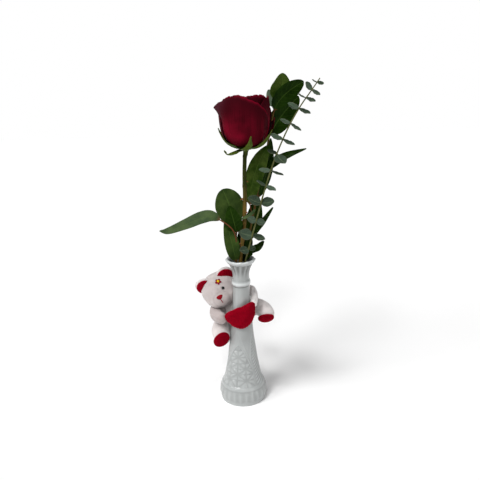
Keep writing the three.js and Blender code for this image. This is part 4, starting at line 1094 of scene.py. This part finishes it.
def face():
    # The ball's rows run from its back to its front.
    ball = sphere(24, 32, 0.02)[::-1, :, [0, 2, 1]]
    eye = from_head(on_head(*EYE_PLACE, 0.7) + ball * EYE_RADII)
    skin_piece("bear_eye_bead", eye, "eye_bead", "bear_eye")
    x, y, z = ball[..., 0], ball[..., 1], ball[..., 2]
    stitches = 1 + 0.05 * np.cos(x * 26)
    nose = np.stack([x * 5 * (1 + 0.28 * z), y * 1.9 * stitches + 0.05 * (x * 5) ** 2, z * 3.6], -1)
    skin_piece("bear_nose_stitched", from_head(on_head(*NOSE_PLACE, 0.3) + nose), "thread", "bear_nose")
    mouth = Build()
    path = np.array([on_head(x, z, 0.25) for x, z in MOUTH_LINE])
    add_tube(mouth, from_head(path), [0.6, 0.62, 0.55], 40, 12, lambda t, turn: 0.1 * np.sin(t * 60 + turn))
    piece("bear_mouth_stitch", mouth, "thread", "bear_mouth")


def facing_frame(direction):
    """Unit vectors along a direction, and to the right and up across it."""
    ahead = unit(np.array(direction, float))
    right = unit(np.cross(ahead, (0, 0, 1)))
    return ahead, right, np.cross(right, ahead)


def flower():
    direction, right, upward = facing_frame(FLOWER_WAY)
    centre = direction * HEAD_RADIUS
    radius = np.linspace(0.02, 1, 14)[:, None]
    turn = turns(90)
    flat = radius * FLOWER_RADIUS * (0.58 + 0.42 * np.abs(np.cos(FLOWER_PETALS / 2 * turn)) ** 0.8)
    dish = 1.1 + 0.35 * np.cos(FLOWER_PETALS * turn) * radius - 0.05 * flat ** 2
    front = centre + spokes(right, upward, turn, flat) + direction * dish[..., None]
    points = np.concatenate([front, front[::-1] - direction * 0.8])
    skin_piece("bear_flower_petals", from_head(points), "red_felt", "bear_flower")
    polar = pole_to_pole(20, 0.02)[::-1]
    ball = spokes(right, upward, turns(36), np.sin(polar)) * 1.9 + direction * np.cos(polar)[..., None]
    ball = centre + direction * 1.7 + ball * (1 + 0.06 * ripple(ball, 1.1)[..., None])
    skin_piece("bear_flower_button", from_head(ball), "yellow_felt", "bear_flower_centre")


# Limbs: points from the torso to the end, and radii spread evenly along them
LIMBS = {
    "bear_leg_left": (
        [(-8, 36, 118), (-26, 26, 116), (-32.5, 11, 108), (-31.2, -1, 103)], [12, 14, 15, 13.4]),
    "bear_leg_right": (
        [(12, 36, 132), (24, 25, 140), (35, 17, 138), (38.6, 8, 136.4)], [12, 13.2, 12.7, 11.9]),
    "bear_arm_left": (
        [(-20, 36, 140), (-38, 23, 139.5), (-39.5, 6, 137.6), (-31.5, -7, 136.4)], [9, 9.8, 9.4, 8.9]),
    "bear_arm_right": (
        [(2, 36, 160), (15, 26, 168.5), (19.8, 9, 165.5), (18, -5, 158)], [9, 7.5, 6, 6]),
}
# Painted shade on limbs that the lamps light strongly, and by how much
PAINTED_LIMB_SHADE = {"bear_arm_left": 0.8, "bear_leg_left": 0.25, "bear_leg_right": 0.15}
# Pads: centre, direction, how far out, radius, and by what share it is longer towards the upper right
PADS = {
    "bear_foot_pad_left": ((-34.6, -1, 103.9), (0.3, -0.93, -0.2), 13.8, 12.6, 0.07),
    "bear_foot_pad_right": ((37, 7.5, 136.5), (0.05, -0.72, -0.69), 12, 12.4, 0.03),
}


def limb_grid(path, radii, rings=70, sides=64):
    """Stuffed tube with round ends, in rows from one end to the other, the ways out of it and its turns."""
    cap = np.radians(np.linspace(86, 4, 14))
    middle = np.zeros(rings)
    t = np.concatenate([0 * cap, np.linspace(0, 1, rings), 0 * cap + 1])
    shift = np.concatenate([-radii[0] * np.sin(cap), middle, radii[-1] * np.sin(cap[::-1])])
    radius = spread_evenly(radii, t) * np.concatenate([np.cos(cap), middle + 1, np.cos(cap[::-1])])
    centre = along(path, t) + tangents_of(path, t) * shift[:, None]
    rim, turn = rims_along(path, t, sides, (0.15, 0.1, 1.0))
    return centre[:, None] + rim * radius[:, None, None], rim, turn


def limbs():
    for i, (name, (path, radii)) in enumerate(LIMBS.items()):
        points, rim, turn = limb_grid(path, radii)
        seam = hump(turn, 4.6, 0.07)
        points = points - rim * (0.4 * seam)[..., None]
        points = points + rim * (0.35 * ripple(points, 14, 30 + i))[..., None]
        # The seam value carries painted shade on the lit limbs as well as the seam's own darkening.
        plush_piece(name, off_vase(fuzz(points, rim)), PAINTED_LIMB_SHADE.get(name, 0) + 0.4 * seam)


def torso():
    turn = np.array(Matrix.Rotation(math.radians(TORSO_LEAN), 3, "Y"))
    points, rays = star_surface(lambda p: lump(p, (0, 0, 0), TORSO_RADII), np.zeros(3), 90, 120)
    seam = hump(points[..., 0], 0, 0.6)
    points = fuzz(points - rays * (0.5 * seam)[..., None], rays)
    plush_piece("bear_torso", off_vase(points @ turn.T + TORSO_CENTRE), 0.7 * seam)


def pads():
    for name, (centre, way, reach, radius, stretch) in PADS.items():
        normal, right, upward = facing_frame(way)
        spread = np.linspace(0.01, 1, 30)[:, None]
        turn = turns(90)
        edge = hump(spread, 0.93, 0.03)
        dome = 5.6 * np.sqrt(np.clip(1 - (spread * 0.985) ** 2.4, 0, 1)) - 0.5 * edge
        flat = spread * radius * (1 + stretch * np.cos(2 * turn - 1.5 * math.pi))
        front = centre + normal * (reach - 4.2) + spokes(right, upward, turn, flat)
        points = np.concatenate([front + normal * dome[..., None], front[::-1] - normal * 1.2])
        seam = 0.15 + 0.5 * np.concatenate([edge, 0 * edge])
        plush_piece(name, fuzz(points, normal, 0.15), seam, "red_plush", 0.6)


HEART_CENTRE = (-2.2, 146.9)
HEART_WRAP = 36
HEART_HALF_THICKNESS = 5
HEART_PUCKERS = 34
HEART_GAP = 0.35
# Radius by angle in degrees, from the tip of the left lobe all the way round
HEART_OUTLINE = [
    (-163, 29.5), (-151, 25.3), (-132, 22.4), (-108, 22.4), (-80, 23), (-48, 22), (-25, 22.3), (0, 23.4),
    (22, 25.6), (36, 28), (44, 27), (60, 18.6), (90, 12.2), (125, 12), (150, 13.6), (175, 20.5), (197, 29.5),
]


def heart_radius(angle):
    degrees = np.degrees(angle)
    first = HEART_OUTLINE[0][0]
    return smooth_at(HEART_OUTLINE, (degrees - first) % 360 + first)


def heart():
    """Cushion bent round the vase's front: crowned, with a seam round its edge and small puckers at it."""
    angle = turns(200)
    polar = pole_to_pole(110, 0.006)
    spread = np.sin(polar) ** 0.8
    edge = hump(polar, math.pi / 2, 0.05)
    pucker = np.sin(angle * HEART_PUCKERS + 0.6 * np.sin(angle * 3)) * fade(spread, 0.72, 0.97)
    reach = spread * heart_radius(angle) - 0.7 * edge + 0.2 * pucker
    x, z = reach * np.cos(angle), reach * np.sin(angle)
    thick = -np.cos(polar) * HEART_HALF_THICKNESS * (1 + 0.1 * np.cos(polar)) + 0 * angle
    thick = thick * (1 + 0.12 * pucker) + 0.5 * ripple(np.stack([x, z, thick], -1), 12, 8)
    out = HEART_WRAP - thick
    around = (HEART_CENTRE[0] + x) / HEART_WRAP
    wrap = HEART_WRAP - float(smooth_at(VASE_OUTER, HEART_CENTRE[1])) - HEART_GAP - HEART_HALF_THICKNESS
    points = about_z(out, around, HEART_CENTRE[1] + z) + (0, wrap, 0)
    normals = about_z(1, around, 0) * np.sign(out - HEART_WRAP)[..., None]
    plush_piece("heart_cushion", off_vase(fuzz(points, normals, 0.16)), 0.6 * edge, "red_plush", 0.75)


# Setting

FLOOR_REACH = 6.0
SKY_STRENGTH = 0.22
# Soft lamps: name, strength, width in degrees, and the way that the light goes
LAMPS = [
    ("low_left", 0.82, 20, (0.74, 0.36, -0.57)),
    ("high_left", 1.14, 16, (0.42, 0.49, -0.76)),
    ("front", 0.6, 10, (0.08, 0.7, -0.71)),
    ("top", 0.88, 10, (0.22, 0.17, -0.96)),
    ("right_fill", 0.45, 30, (-0.7, 0.71, -0.05)),
]


def studio():
    mesh = bpy.data.meshes.new("floor")
    corners = [(x * FLOOR_REACH, y * FLOOR_REACH, 0) for x, y in ((-1, -1), (1, -1), (1, 1), (-1, 1))]
    mesh.from_pydata(corners, [], [(0, 1, 2, 3)])
    s = Shader("floor", Roughness=0.9, Specular_IOR_Level=0.0, Emission_Color=srgb(*WHITE),
               Emission_Strength=0.06)
    mesh.materials.append(s.finish(s.mix(s.noise(2), (0.9, 0.9, 0.9, 1), (0.91, 0.91, 0.91, 1))))
    floor = show("floor", mesh)
    world = bpy.data.worlds.new("studio")
    bpy.context.scene.world = world
    world.use_nodes = True
    tree = world.node_tree
    light, backdrop = tree.nodes["Background"], tree.nodes.new("ShaderNodeBackground")
    for node, strength in ((light, SKY_STRENGTH), (backdrop, 1.0)):
        node.inputs["Color"].default_value = srgb(*WHITE)
        node.inputs["Strength"].default_value = strength
    choice = tree.nodes.new("ShaderNodeMixShader")
    seen = tree.nodes.new("ShaderNodeLightPath")
    tree.links.new(seen.outputs["Is Camera Ray"], choice.inputs[0])
    tree.links.new(light.outputs[0], choice.inputs[1])
    tree.links.new(backdrop.outputs[0], choice.inputs[2])
    tree.links.new(choice.outputs[0], tree.nodes["World Output"].inputs["Surface"])
    bpy.context.scene.view_settings.view_transform = "Standard"
    for name, energy, width, towards in LAMPS:
        light = bpy.data.lights.new(name, "SUN")
        light.energy = energy
        light.angle = math.radians(width)
        lamp = show(name, light)
        lamp.location = -Vector(towards)
        lamp.rotation_euler = Vector(towards).to_track_quat("-Z", "Y").to_euler()


def camera():
    """The photograph's view: place, pitch and roll fitted to the vase's ellipses, in metres and degrees."""
    pitch, roll = math.radians(15.87), math.radians(-1.45)
    focal_pixels, frame_pixels, sensor = 494.5, 480, 36
    data = bpy.data.cameras.new("camera")
    data.sensor_width = sensor
    data.lens = focal_pixels / frame_pixels * sensor
    made = show("camera", data)
    turn = Matrix.Rotation(math.radians(90) - pitch, 4, "X") @ Matrix.Rotation(roll, 4, "Z")
    made.matrix_world = Matrix.Translation((0.0003, -0.7, 0.4566)) @ turn
    bpy.context.scene.camera = made


vase()
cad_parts["vase_water"].data.materials.clear()
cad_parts["vase_water"].data.materials.append(FINISH["water"])
rose_stem()
bloom()
sprig("broad_leaves_right", RIGHT_STEM, RIGHT_LEAVES + SMALL_LEAVES, "leaf_sprig_right")
sprig("broad_leaves_left", LEFT_STEM, LEFT_LEAVES, "leaf_sprig_left")
eucalyptus()
head()
ears()
face()
flower()
torso()
limbs()
pads()
heart()
studio()
camera()
